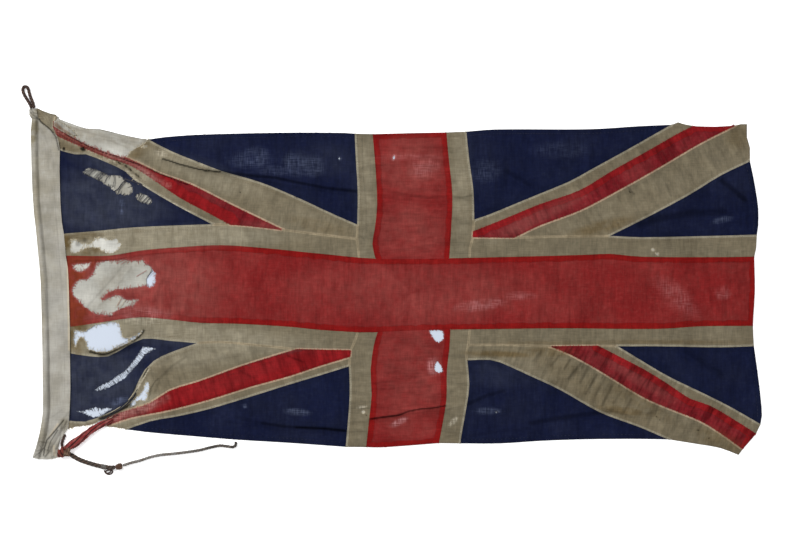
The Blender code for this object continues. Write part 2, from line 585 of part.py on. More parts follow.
def finish(obj, finish_name, smooth_angle=None):
    """Puts an object in the flag's collection and gives it its own material."""
    material = bpy.data.materials.new(obj.name)
    material.use_nodes = True
    shader = material.node_tree.nodes["Principled BSDF"]
    colour, roughness = FINISHES[finish_name]
    shader.inputs["Base Color"].default_value = (*colour, 1.0)
    shader.inputs["Roughness"].default_value = roughness
    shader.inputs["Metallic"].default_value = 0.0
    obj.data.materials.clear()
    obj.data.materials.append(material)
    flag.objects.link(obj)
    if smooth_angle is not None:
        obj.data.shade_smooth()
        obj.data.set_sharp_from_angle(angle=smooth_angle)
    return obj


def sheet(name, outline, holes, finish_name, under, over, rows):
    """A closed sheet of cloth: its outline is filled, extruded, and lifted to its two faces."""
    loops = [drawn_in(outline, GAP / 2)] + holes
    wanted = [point for row in rows for point in row] + grid_points(outline, GRID)
    inner = spread_points(loops, wanted)
    points = []
    edges = []
    for loop in loops:
        start = len(points)
        points.extend(loop)
        edges.extend((start + i, start + (i + 1) % len(loop)) for i in range(len(loop)))
    filled, _, faces, _, _, _ = delaunay_2d_cdt(points + inner, edges, [], 0, 1e-7)
    mesh = bpy.data.meshes.new(name)
    build = bmesh.new()
    corners = [build.verts.new((point.x, point.y, 0.0)) for point in filled]
    for face in faces:
        middle = sum((filled[i] for i in face), Vector((0.0, 0.0))) / len(face)
        if inside(middle, loops):
            build.faces.new([corners[i] for i in face])
    loose = [corner for corner in build.verts if not corner.link_faces]
    bmesh.ops.delete(build, geom=loose, context="VERTS")
    raised = bmesh.ops.extrude_face_region(build, geom=build.faces[:])
    tops = {item for item in raised["geom"] if isinstance(item, bmesh.types.BMVert)}
    for corner in build.verts:
        flat = corner.co.to_2d()
        corner.co.z = over(flat) if corner in tops else under(flat)
    bmesh.ops.recalc_face_normals(build, faces=build.faces[:])
    build.to_mesh(mesh)
    build.free()
    return finish(bpy.data.objects.new(name, mesh), finish_name)


def wool_panel(name):
    """One cut panel of wool, with the holes torn in it."""
    colour = "navy_wool" if name.startswith("navy") else "white_wool"
    if name.startswith("red"):
        colour = "red_wool"
    rows = [rows_along(line, (-width, 0.0, width), SEAM_STEP) for line, _, width in WOOL_FOLDS]
    holes = [hole_of(pixels) for pixels in HOLES.get(name, [])]
    return sheet(name, outline_of(PANELS[name]), holes, colour, wool_floor, wool_top, rows)


def rope(name, route, diameter, finish_name, lifts=None, radii=None):
    """A rope or cord: a tube along a hand-placed route, on the surface where nothing lifts it."""
    lifts = lifts or {}
    along = []
    for i, pixel in enumerate(route):
        point = place(pixel)
        radius = radii[i] if radii else diameter / 2
        along.append(Vector((point.x, point.y, radius + lifts.get(i, 0.0), radius)))
    line = curve_through(along, diameter * ROPE_STEP)
    curve = bpy.data.curves.new(name, "CURVE")
    curve.dimensions = "3D"
    curve.bevel_depth = 1.0
    curve.bevel_resolution = ROPE_ROUNDNESS
    curve.use_fill_caps = True
    spline = curve.splines.new("POLY")
    spline.points.add(len(line) - 1)
    for point, here in zip(spline.points, line):
        point.co = (here[0], here[1], here[2], 1.0)
        point.radius = here[3]
    return finish(bpy.data.objects.new(name, curve), finish_name)


def as_mesh(obj):
    """A curve made into a closed mesh and kept as a helper, so that it can be joined."""
    graph = bpy.context.evaluated_depsgraph_get()
    mesh = bpy.data.meshes.new_from_object(obj.evaluated_get(graph))
    weld = bmesh.new()
    weld.from_mesh(mesh)
    bmesh.ops.remove_doubles(weld, verts=weld.verts[:], dist=0.00001)
    bmesh.ops.recalc_face_normals(weld, faces=weld.faces[:])
    weld.to_mesh(mesh)
    weld.free()
    name = obj.name
    bpy.data.objects.remove(obj)
    made = bpy.data.objects.new(name, mesh)
    helpers.objects.link(made)
    made.hide_render = True
    made.display_type = "WIRE"
    return made


def joined(obj, other):
    """Joins another closed mesh to an object, as one piece of cloth."""
    join = obj.modifiers.new("join", "BOOLEAN")
    join.operation = "UNION"
    join.solver = "EXACT"
    join.object = other


def seizing():
    """The lashing between the rope tail and the thin cord: a turned barrel with three ridges."""
    start, end = (place(pixel) for pixel in SEIZING_PX)
    run = end - start
    mesh = bpy.data.meshes.new("seizing")
    build = bmesh.new()
    line = [build.verts.new((r * SEIZING_RADIUS, 0.0, t * run.length)) for r, t in SEIZING_PROFILE]
    edges = [build.edges.new(pair) for pair in zip(line, line[1:])]
    bmesh.ops.spin(
        build, geom=line + edges, cent=(0, 0, 0), axis=(0, 0, 1), angle=math.tau, steps=12, use_merge=True)
    bmesh.ops.remove_doubles(build, verts=build.verts[:], dist=0.00002)
    tilt = Vector((0, 0, 1)).rotation_difference(Vector((run.x, run.y, 0)))
    for corner in build.verts:
        corner.co.rotate(tilt)
        corner.co += Vector((start.x, start.y, SEIZING_RADIUS))
    bmesh.ops.recalc_face_normals(build, faces=build.faces[:])
    build.to_mesh(mesh)
    build.free()
    return finish(bpy.data.objects.new("seizing", mesh), "tail_rope", math.radians(50))


def twine_ring():
    """The small ring of twine on the surface beside the rope tail."""
    middle = place(TWINE_RING_PX)
    bpy.ops.mesh.primitive_torus_add(
        location=(middle.x, middle.y, TWINE / 2),
        major_segments=18,
        minor_segments=6,
        major_radius=TWINE_RING_SIZE[0],
        minor_radius=TWINE / 2,
    )
    ring = bpy.context.object
    ring.name = "twine_ring"
    for corner in ring.data.vertices:
        corner.co.y *= TWINE_RING_SIZE[1] / TWINE_RING_SIZE[0]
    for collection in ring.users_collection:
        collection.objects.unlink(ring)
    return finish(ring, "tail_rope", math.radians(60))


for old in list(bpy.data.objects):
    bpy.data.objects.remove(old)
flag = bpy.data.collections.new("tattered_flag")
bpy.context.scene.collection.children.link(flag)
helpers = bpy.data.collections.new("helpers")
bpy.context.scene.collection.children.link(helpers)

# Heading, tab and patch
heading_outline = outline_of([
    "heading_tab", "hoist_narrow_uh", "hoist_navy_uh", "hoist_border_uh", "hoist_band", "hoist_border_lh",
    "hoist_navy_lh", "hoist_wide_lh", "heading_free", "heading_foot", "heading_outer", "heading_head",
    "heading_mouth"])
bulge_rows = rows_along(OUTER_EDGE, [ROPE_RUN * part for part in (-0.16, -0.5, -0.84, -1.0)], SEAM_STEP)
crease_rows = [rows_along(line, (-width, 0.0, width), CREASE_STEP) for line, _, width in CANVAS_CREASES]
sheet("heading", heading_outline, [], "heading_canvas", on_surface, heading_top, [bulge_rows, *crease_rows])
tab_outline = outline_of(["tab_head", "tab_outer", "tab_red", "-heading_tab"])
sheet("corner_tab", tab_outline, [], "tab_canvas", on_surface, tab_top, [])
sheet("backing_patch", PATCH_OUTLINE, [], "patch_canvas", on_surface, patch_top, [])

# Wool
panels = {name: wool_panel(name) for name in PANELS}
twisted_end = rope("twisted_end", STRIP_TAIL_ROUTE, TWISTED_END, "red_wool", radii=STRIP_TAIL_RADIUS)
joined(panels["red_strip_lower_hoist"], as_mesh(twisted_end))
sheet("stained_rag", hole_of(RAG), [], "stained_wool", wool_floor, wool_top, [])

# Ropes
rope("becket", BECKET_ROUTE, BECKET_ROPE, "dark_rope")
rope("sleeve_rope", SLEEVE_ROUTE, SLEEVE_ROPE, "dark_rope")
rope("rope_tail", ROPE_TAIL_ROUTE, TAIL_ROPE, "tail_rope", lifts=ROPE_TAIL_LIFT)
seizing()
rope("thin_cord", THIN_CORD_ROUTE, THIN_CORD, "tail_rope", lifts=THIN_CORD_LIFT)
twine_ring()
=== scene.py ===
"""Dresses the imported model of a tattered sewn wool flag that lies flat: its weave, seams, stitches, frayed
tears, stains and ropes.

Metres, +Z up, hoist towards -X. Places on the flag are photograph pixels, x to the right and y down, which
one driving size turns into metres.
"""

import math
import random

import bmesh
import bpy
import numpy as np
from bpy.props import FloatProperty, FloatVectorProperty, IntProperty, PointerProperty
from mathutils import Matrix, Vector
from mathutils.geometry import delaunay_2d_cdt


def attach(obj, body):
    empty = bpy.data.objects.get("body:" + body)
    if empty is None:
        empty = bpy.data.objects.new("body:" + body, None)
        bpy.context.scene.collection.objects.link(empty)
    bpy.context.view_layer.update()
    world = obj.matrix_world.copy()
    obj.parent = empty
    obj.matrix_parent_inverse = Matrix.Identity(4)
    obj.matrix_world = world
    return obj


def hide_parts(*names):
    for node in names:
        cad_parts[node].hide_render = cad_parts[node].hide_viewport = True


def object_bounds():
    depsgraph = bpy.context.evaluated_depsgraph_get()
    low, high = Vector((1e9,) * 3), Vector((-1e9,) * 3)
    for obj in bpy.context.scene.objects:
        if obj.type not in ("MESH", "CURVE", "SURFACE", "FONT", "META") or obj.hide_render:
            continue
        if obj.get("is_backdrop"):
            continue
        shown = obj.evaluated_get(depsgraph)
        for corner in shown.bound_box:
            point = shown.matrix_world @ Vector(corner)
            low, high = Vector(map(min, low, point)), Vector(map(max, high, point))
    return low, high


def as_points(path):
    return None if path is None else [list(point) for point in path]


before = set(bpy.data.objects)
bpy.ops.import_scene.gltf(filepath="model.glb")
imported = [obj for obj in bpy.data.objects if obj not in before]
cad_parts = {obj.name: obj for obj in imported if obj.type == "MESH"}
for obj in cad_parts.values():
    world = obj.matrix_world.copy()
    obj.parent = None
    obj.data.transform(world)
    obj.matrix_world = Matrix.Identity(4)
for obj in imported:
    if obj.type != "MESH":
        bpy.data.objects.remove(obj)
CAD_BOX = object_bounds()

bl_info = {
    "name": "Tattered Sewn Flag",
    "version": (1, 0, 0),
    "blender": (4, 5, 0),
    "location": "3D Viewport > Sidebar > Flag",
    "description": "Dresses the packed model of an old sewn wool flag that lies flat",
    "category": "Object",
}

# The bunting's real length from heading to fly, in metres, and the photograph's pixels
BUNTING_LENGTH = 1.372
BUNTING_PX = 697.0
PIXEL = BUNTING_LENGTH / BUNTING_PX
CENTRE_PX = (412.0, 293.0)  # middle of the red cross
PHOTO_PX = (800.0, 540.0)

# How the cloth lies
CLOTH = 0.0012
THIN_CLOTH = 0.0006  # one layer, away from the doubled seams
CANVAS = 0.0012
OVER_PATCH = 0.0015
PATCH_LIP = 0.042
PATCH_RAMP = 0.030
HEADING = 0.0030
ROPE_BULGE = 0.0095
ROPE_RUN = 0.014
TAB = 0.0018
SEAM_BAND = 0.0095  # width of the doubled cloth beside a seam or hem
REACH = 0.05  # the furthest distance that the seam attribute holds
SEARCH = 0.06  # how far a nearest line is looked for
STRIP_DOUBLED = 0.80  # a red strip is doubled a little further in from its narrow white neighbour
LINE_REACH = 1.15  # how far a listed line goes, in its half-widths
CREASE_HALO = 0.30  # strength of the soft shadow round a crease
HALO_REACH = 3.5  # how far that shadow goes, in the crease's half-widths
TOUCHING = 0.0012  # panels nearer than this are sewn together
LOOP_MARGIN = 0.002  # how far past a panel's box its neighbours are looked for
CANVAS_RANK = 4  # stands for canvas where wool has its rank
LOWEST = 0.0002  # no rope comes nearer to the floor
ROPE_STEP = 0.001  # distance between two rings of a rope
FINE_STEP = 0.0009  # the same for a thin rope
LAY_RUN = 0.3  # the furthest place that the lay attribute holds
FINE = 0.6  # a torn loop's pitch, as a share of its sheet's
RAGGED_SHARE = 0.06  # unevenness of a hole's edge, as a share of the hole's size
MOST_RAGGED = 0.0012  # the largest unevenness of a hole's edge
TORN_BACK = (-0.0012, 0.0005)  # how far a torn edge goes out of its outline
PAST_BORDER = 1.15  # the border's line beside a red strip is drawn a little thinner
LEAST_SIDE = 0.01  # the smallest side of a declared sheet
CLOTH_ROUGHNESS = 0.95
CLOTH_SPECULAR = 0.03
THREAD_STEPS = (0.0, 0.4, 0.75, 1.0)  # the places along a thread that its bend passes through
SEAM_STITCH = (0.0046, 0.0034, 0)  # distance between two stitches, length, turn
HEM_STITCH = (0.0050, 0.0036, 0)
ZIGZAG_STITCH = (0.0052, 0.0064, 0.95)
STITCH_WIDTH = 0.0009
STITCH_HEIGHT = 0.00045
TORN_NEAR = 0.002  # a rim nearer than this to a torn edge is torn
FRINGE_NEAR = 0.003  # broken threads hang from a rim nearer than this to a torn edge
BAND_SLOPE = 0.0016  # width of the step from doubled to single cloth
HOLE_RIM = 0.006  # how far from a hole the cloth thins
HOLE_THINNED = 0.0009  # and how much
RAG_LIFT = 0.0014
GROWN_LEFT_OF_PX = 64  # canvas edges left of this column may grow
PATCH_CORNER_PX = (58.4, 124)  # the patch shows above and right of this, and doesn't grow there
BLOCK = 1500  # points tested at a time
SMALL = 1e-9

# Rank in a lapped seam: a higher colour lies over a lower one, a little past the seam, and stands prouder
LAP = 0.0008
BUTT = 0.00015
RANK = {"navy": 1, "white": 2, "red": 3}
BAND_RISE = {"navy": 0.00010, "white": 0.00035, "red": 0.00060}

# Folds: line in pixels, height, half-width
FOLDS = [
    ([(163, 159), (190, 167), (222, 172), (260, 178), (290, 184), (330, 189)], 0.0035, 0.01),
    ([(357, 190), (385, 194), (412, 197), (447, 198), (473, 196)], 0.002, 0.012),
    ([(230, 419), (280, 426), (335, 430)], 0.0022, 0.012),
    ([(349, 421), (368, 418.5), (385, 417), (412, 411), (430, 409.5), (458, 407)], 0.0032, 0.01),
    ([(675, 352), (697, 362), (720, 375)], 0.002, 0.01),
    ([(505, 170), (518, 178), (530, 185)], 0.0016, 0.01), ([(725, 183), (742, 197)], 0.0018, 0.009),
    ([(640, 405), (690, 428), (728, 446)], 0.002, 0.011),
    ([(100, 354), (118, 351), (137, 341)], 0.0045, 0.008),
    ([(112, 160), (126, 168), (138, 180)], 0.003, 0.008),
    ([(104, 416), (118, 410.5), (133, 404)], 0.004, 0.008),
    ([(150, 262), (160, 280), (152, 300)], 0.0025, 0.01), ([(116, 341), (127, 335)], 0.002, 0.008),
    ([(150, 372), (190, 362), (240, 352)], 0.0025, 0.012)]

# The heading's outer edge and ends, and the creases of its canvas and of the patch: line, height, half-width
HEADING_OUTER = [
    (32.5, 457.5), (36, 447), (40, 432), (43, 412), (42.8, 380), (42.3, 340), (40.6, 280), (37, 240),
    (33, 200), (31, 145), (31, 130), (32, 119)]
HEADING_ENDS_PX = (108, 458)
HEADING_CREASES = [
    ([(36, 112), (45, 124), (54, 137)], 0.0022, 0.006), ([(33, 117), (41, 133), (50, 150)], 0.0018, 0.006),
    ([(45, 455), (54, 438), (65, 421)], 0.0026, 0.006), ([(52, 456), (57, 444), (62, 436)], 0.0022, 0.005),
    ([(47, 440), (56, 428), (67, 412)], 0.0012, 0.005), ([(35, 452), (42, 447), (47, 449)], 0.0014, 0.004),
    ([(36, 456), (44, 452), (50, 446), (49, 440)], 0.0012, 0.004)]
PATCH_CREASES = [
    ([(85, 308), (103, 288), (125, 262)], 0.0007, 0.004),
    ([(93, 312), (112, 291), (130, 268)], 0.0005, 0.005),
    ([(60, 128), (90, 137), (140, 142)], 0.0007, 0.005),
    ([(75, 126), (110, 134), (144, 140)], 0.0004, 0.004)]

# Holes and tears, finer than the solids hold them, as loops in pixels
HOLES = {
    "red_cross_band": [
        [(95.5, 266.1), (96.8, 262.8), (103.6, 261.4), (110.1, 260.8), (116.6, 260.4), (124.7, 259.4),
            (131.2, 261.2), (139.3, 260.6), (142.5, 259), (145, 262.8), (150.6, 266.1), (153.1, 270.1),
            (156.3, 273.4), (155.5, 279.9), (154.7, 285.5), (149.8, 288), (145.8, 285.5), (139.3, 287.2),
            (132.8, 288), (126.3, 288.8), (119.8, 289.6), (114.2, 290.1), (110.1, 292), (105.2, 295.3),
            (101.2, 298.5), (102, 300.6), (106.9, 298.5), (111.7, 296.1), (116.6, 294.5), (121.5, 296.1),
            (124.7, 299.3), (129.6, 300.1), (134.4, 299.3), (138.5, 300.1), (135.2, 303.4), (132.8, 306.6),
            (128.7, 305.8), (124.7, 307.4), (119.8, 309), (115, 311.5), (110.9, 316), (106.9, 315.2),
            (102, 314.7), (97.1, 314.7), (93.1, 313.1), (89, 309.8), (84.2, 306.6), (80.1, 302.6),
            (75.3, 297.7), (73.2, 294.5), (72.2, 289.6), (73.4, 284.7), (77.7, 280.7), (82.6, 279.1),
            (87.4, 279.1), (91.5, 275), (93.9, 270.9)],
        [(72.4, 264.9), (76.1, 264.2), (82.6, 263.7), (90.7, 262.6), (89, 266.9), (85, 270.1),
            (80.1, 272.1), (75.3, 270.5), (72.8, 267.7)]],
    "border_upper_hoist": [
        [(71.2, 239.8), (76.1, 239), (77.7, 241.8), (83.4, 243.4), (89, 244.2), (93.1, 241.8),
            (94.7, 238.2), (98.8, 237.4), (105.2, 237.9), (110.1, 240.2), (115.8, 238.7), (119, 241.8),
            (121.5, 244.2), (119, 249.1), (115, 251.5), (112.8, 252.9), (108.5, 253.1), (105.2, 252.6),
            (102, 250.7), (98, 247.4), (93.1, 247.2), (87.4, 247.8), (83.4, 249.1), (78.5, 251.8),
            (75.3, 253.2), (71.5, 252.8), (70.4, 251.3), (70.6, 245.8)]],
    "border_lower_hoist": [
        [(73.4, 331.2), (76.9, 329.4), (78.5, 330.7), (82, 331), (85.5, 331.4), (89, 328.6), (94.2, 325),
            (100, 323.9), (104.7, 323.1), (108.2, 322.2), (115.1, 321.6), (118.7, 322.4), (120.1, 325.4),
            (120.7, 329.3), (122.1, 333.7), (123.4, 337.4), (125.6, 337.9), (130.8, 337.3), (136.1, 335.2),
            (139, 333.1), (141.3, 330.2), (142.3, 330.8), (141.3, 332.9), (138.4, 335.8), (133.7, 339.3),
            (129.1, 342.2), (122.1, 345.4), (116.3, 348), (111.6, 349.9), (107, 351.4), (102.4, 352),
            (96.5, 351.5), (91.3, 350.2), (87.2, 348.9), (86.4, 345), (86, 342.7), (83.8, 339.2),
            (80.9, 336.7), (79.2, 339.1), (77.7, 341.6), (76.5, 345), (75.2, 347.3), (74.2, 346.7),
            (73.9, 342.7), (73.6, 337.4), (73.8, 333.9)]],
    "wide_white_lower_hoist": [
        [(147.5, 381.5), (149.1, 383.7), (149.1, 387.5), (148.3, 391.2), (147.5, 395), (146.4, 399.4),
            (144.5, 401.5), (141.2, 400.4), (138, 400.4), (136.1, 402.1), (135.6, 405.3), (132.1, 406.6),
            (128.3, 407), (129.6, 405.3), (132.1, 401.5), (134.8, 398), (138.5, 395.6), (141.2, 392.3),
            (143.4, 388.5), (144.8, 384.8), (146.1, 382.1)]],
    "navy_upper_hoist_inner": [
        [(82.7, 172.2), (86, 169.3), (88.4, 167.9), (91.2, 168.5), (94.1, 168.9), (97.3, 170.1),
            (100.6, 171.4), (103.8, 172.6), (106.2, 174.2), (108.7, 175), (112.7, 175.2), (116.8, 175),
            (119.6, 175.8), (122, 177.4), (124.1, 179.5), (125.7, 181.2), (128.9, 182.7), (131.4, 185.1),
            (133, 188.4), (132.4, 192.2), (130.8, 194.3), (128.1, 194.9), (124.9, 195.7), (122.4, 194.5),
            (120, 193.3), (117.6, 194.5), (116, 193.3), (113.5, 190.4), (110.3, 188), (107.9, 186),
            (104.6, 184.3), (102.2, 182.3), (98.9, 180.7), (95.7, 179.1), (92.4, 177.4), (89.6, 176.2),
            (87.6, 175), (84.3, 173.8)],
        [(135.4, 195.9), (136.6, 194), (139.9, 193.2), (142.7, 193.7), (146, 194.9), (149.2, 196.9),
            (151.6, 199.7), (152.5, 202.2), (150.8, 204.2), (147.6, 204.2), (144.3, 203), (141.1, 202.6),
            (138.7, 201), (136.2, 199.7)]],
    "navy_lower_hoist_inner": [
        [(155.7, 348.5), (149, 347.2), (142.9, 346.8), (139.5, 351.3), (135.3, 358), (130.6, 364.6),
            (124, 371.2), (118.3, 374.6), (110.7, 380.6), (101.3, 384.8), (94.7, 389.5), (96.6, 391),
            (105, 389), (110.7, 386.3), (118.3, 382.5), (125.9, 376.9), (133.4, 368.4), (138.1, 363.6),
            (141, 359.8), (143.8, 356), (148.5, 352.3)],
        [(76.7, 411.5), (82.4, 412.8), (86.2, 415.2), (93.7, 417.5), (101.3, 415.6), (106, 412.6),
            (109.4, 410.6), (112.8, 408.7), (105.8, 407.9), (101.3, 409), (95.6, 407.5), (90.9, 408.4),
            (84.3, 410.9)]],
}

# The stained rag, with the wedge that it leaves beside the tab
RAG_PX = [
    (54.3, 122.2), (58.5, 121.6), (64, 124.7), (72, 130), (77, 135), (73, 135.4), (66, 132.6),
    (61.5, 131.2), (57.3, 128.4), (53.8, 126.2)]

# Moth holes and slits too small for the solids
MOTH_HOLES = {
    "red_arm_upper": [
        [(392.5, 156.6), (393.8, 155.2), (394.9, 156.4), (394.5, 158.8), (393.4, 160.2), (392.9, 158.6)]],
    "border_upper_fly": [
        [(651.9, 249.6), (653.5, 249), (654.5, 250.3), (653.2, 251.2)],
        [(656.2, 253.6), (657.7, 253.2), (658.3, 254.4), (656.9, 255)]],
    "arm_border_lower_left": [
        [(362.1, 411.4), (363.6, 411), (364.2, 412.2), (363, 413)]],
}

# Torn edges that are part of a panel's outline
TORN_EDGES = [
    [(148, 139.5), (145, 143), (136, 148), (131, 151.5), (126, 157.7)],
    [(53.6, 121.4), (57, 126), (63, 131.3), (72, 137), (90, 146), (110, 153), (126, 157.7)],
    [(99.5, 421.3), (93, 424.8), (85, 426), (74, 427.5), (68, 429)],
    [(104, 426.4), (112, 427.5), (126, 429.5)]]

# Wear: x, y, half-length, half-width, slope in degrees, strength
SOILED = [
    (72, 147, 22, 6, 14, 0.25), (100, 160, 16, 4, 22, 0.2), (88, 147, 46, 5, 27, 0.6),
    (67, 243, 6, 9, 0, 0.9), (88, 250, 22, 5, 0, 0.7), (84, 236, 18, 4, -4, 0.6), (76, 300, 12, 46, 0, 1),
    (86, 262, 26, 7, 0, 0.8), (74, 345, 8, 16, 0, 0.6), (62, 425, 6, 5, 0, 0.8),
    (602, 227, 30, 6, -14, 0.55), (738, 136, 12, 12, 0, 0.35), (548, 352, 26, 5, 0, 0.5),
    (640, 402, 40, 7, 32, 0.4), (500, 354, 34, 3, 2, 0.7), (560, 343, 60, 2, 0, 0.35),
    (660, 342, 80, 2, 0, 0.4), (626, 411, 28, 4, 8, 0.6), (720, 440, 26, 9, 22, 0.45),
    (600, 392, 80, 14, 30, 0.22), (137, 150, 12, 7, -40, 0.55), (318, 226, 30, 6, 12, 0.3)]
PATCH_SOILED = [
    (66, 127, 10, 3, 27, 0.6), (84, 133, 26, 7, 14, 0.5), (132, 142, 20, 6, 14, 0.5),
    (125, 188, 30, 14, 30, 0.3), (84, 134, 14, 3, 18, 0.4), (122, 144, 16, 3, 20, 0.4),
    (138, 140, 12, 5, 10, 0.6), (112, 131, 20, 2, 8, 0.4), (105, 288, 34, 14, -40, 0.3),
    (130, 262, 20, 6, 0, 0.25), (60, 123, 4, 3, 0, 0.6), (118, 148, 16, 3, 25, 0.3)]
PATCH_PALE = [
    (96, 246, 32, 12, 0, 0.9), (80, 266, 12, 8, 0, 0.7), (84, 292, 14, 14, 0, 0.5),
    (120, 152, 22, 5, 20, 0.35), (118, 150, 20, 4, 20, 0.2), (72, 124, 10, 2, 20, 0.4)]

# Bare threads beside the tears and on the red strips: line in pixels, half-width in metres, strength
WOOL_PALE = [
    ([(114, 161.5), (120, 166.5), (130, 172.5), (138, 181.5), (149, 191), (166, 200.5),
        (190, 213)], 0.003, 1),
    ([(66, 154.4), (80, 155.4), (95, 158.5), (108, 161.5)], 0.0018, 0.7),
    ([(149.5, 369), (146, 374), (141, 381.5), (134.5, 393)], 0.0016, 1),
    ([(98, 421), (106, 418.4), (113, 416)], 0.0014, 0.8)]
STRIP_PALE = [
    ([(104, 152.6), (116, 158.2), (124.3, 161.9), (132.4, 166), (140.5, 170.8),
        (147, 174.6)], 0.0085, 0.85),
    ([(140.5, 171), (148.7, 176), (157, 181), (168, 186)], 0.0095, 0.4),
    ([(112, 418.5), (120, 414.8), (128, 411.8), (136, 409.6), (146, 406.6), (152, 404)], 0.012, 0.7),
    ([(148, 405.6), (156, 402.4), (166, 398.4)], 0.011, 0.35), ([(56, 129.5), (58.5, 132)], 0.002, 1)]

# More wear: x, y, half-length, half-width, slope in degrees, strength
HEADING_SOILED = [
    (34, 131, 5, 16, 0, 1), (37, 205, 4, 55, 0, 0.5), (42, 300, 4, 45, 0, 0.45), (42, 430, 5, 14, 0, 0.5),
    (48, 180, 13, 100, 0, 0.3), (40, 112, 6, 5, 0, 0.5), (64, 424, 5, 6, 0, 0.6), (52, 448, 12, 8, 0, 0.25)]
RAG_SOILED = [(57, 126, 10, 2.3, 42, 1), (66, 132, 9, 1.5, 33, 1)]
FADED = [
    (105, 205, 58, 34, 5, 0.9), (98, 385, 46, 44, 0, 0.95), (150, 290, 70, 46, 0, 0.75),
    (110, 290, 52, 46, 0, 0.9), (412, 165, 34, 32, 0, 0.55), (410, 230, 34, 26, 0, 0.5),
    (128, 165, 36, 9, 27, 1), (108, 166, 20, 9, 26, 0.9), (104, 196, 26, 9, 30, 0.7),
    (84, 160, 16, 9, 20, 0.5), (128, 411, 34, 12, -22, 0.9), (410, 375, 34, 50, 0, 0.45),
    (480, 292, 70, 22, 0, 0.3), (540, 215, 50, 7, -27, 0.55), (640, 380, 40, 6, 30, 0.35),
    (410, 428, 30, 10, 0, 0.3), (420, 293, 110, 26, 0, 0.4), (364, 190, 10, 60, 0, 0.35),
    (462, 180, 10, 60, 0, 0.35), (150, 316, 30, 10, 0, 0.6), (420, 172, 20, 12, 0, 0.75),
    (396, 165, 10, 12, 0, 0.5), (395, 422, 16, 8, 0, 0.4), (85, 142, 50, 8, 27, 1),
    (150, 240, 130, 14, -3, 0.8), (170, 334, 130, 14, 5, 0.75), (200, 171, 60, 12, 20, 0.5),
    (500, 372, 34, 16, 0, 0.3), (322, 160, 30, 14, 0, 0.25), (200, 352, 60, 14, -6, 0.6),
    (240, 376, 60, 8, -18, 0.2)]
WORN = [
    (256, 158, 12, 10, 0, 0.34), (296, 164, 12, 11, 0, 0.34), (312, 166, 12, 9, 0, 0.3),
    (285, 170, 30, 5, 0, 0.2), (297, 412, 12, 3, 4, 0.5), (485, 171, 14, 10, 0, 0.22),
    (340, 158.5, 1.5, 1.5, 0, 1), (84, 145, 40, 4, 27, 0.6), (145, 316, 22, 8, 0, 0.35),
    (130, 312, 12, 6, 0, 0.3), (488, 411, 12, 3, 0, 0.35), (498, 411.5, 1.8, 1.2, 0, 1),
    (433, 366, 6, 8, 0, 0.7), (410, 157, 30, 3, 0, 0.15), (676, 297, 24, 10, 40, 0.22),
    (723, 293, 7, 6, 0, 0.28), (480, 305, 22, 5, -8, 0.42), (393.5, 157.5, 1.6, 2.8, 15, 1),
    (399, 422, 8, 3, -25, 0.75), (452.8, 422, 5.5, 2.2, -48, 1), (362, 407, 5, 1.3, -10, 0.5),
    (363, 412, 1.6, 1.6, 0, 0.9), (653, 250, 1.8, 1.4, 30, 1), (657, 254, 1.6, 1.4, 0, 0.9),
    (119, 401, 8, 3, -20, 0.8), (121.5, 212, 1.6, 2.2, 0, 0.8), (122, 203, 2.5, 4, 0, 0.4),
    (424, 168, 14, 9, 0, 0.26), (250, 160, 20, 8, 0, 0.2), (161, 153, 6, 3, 20, 0.5),
    (722, 220, 9, 3, -10, 0.4), (560, 150, 24, 8, 0, 0.12), (245, 406, 2, 2, 0, 0.5),
    (520, 296, 14, 4, 0, 0.3)]
SPOTS = [
    (240, 192, 0.9, 0.7, 0, 0.8), (630, 192, 1.7, 0.8, 30, 0.75), (657, 417, 1.4, 0.6, 20, 0.8),
    (660, 420, 1.2, 0.6, 30, 0.7), (698, 430, 1, 0.8, 0, 0.8), (709, 438, 0.9, 0.8, 0, 0.8),
    (64, 149, 1.4, 2.2, 0, 1), (83, 149, 3.2, 2, 20, 1), (85, 240, 2.5, 2.5, 0, 0.5),
    (78, 244, 3, 3, 0, 0.5), (366, 415, 0.8, 0.8, 0, 0.8)]
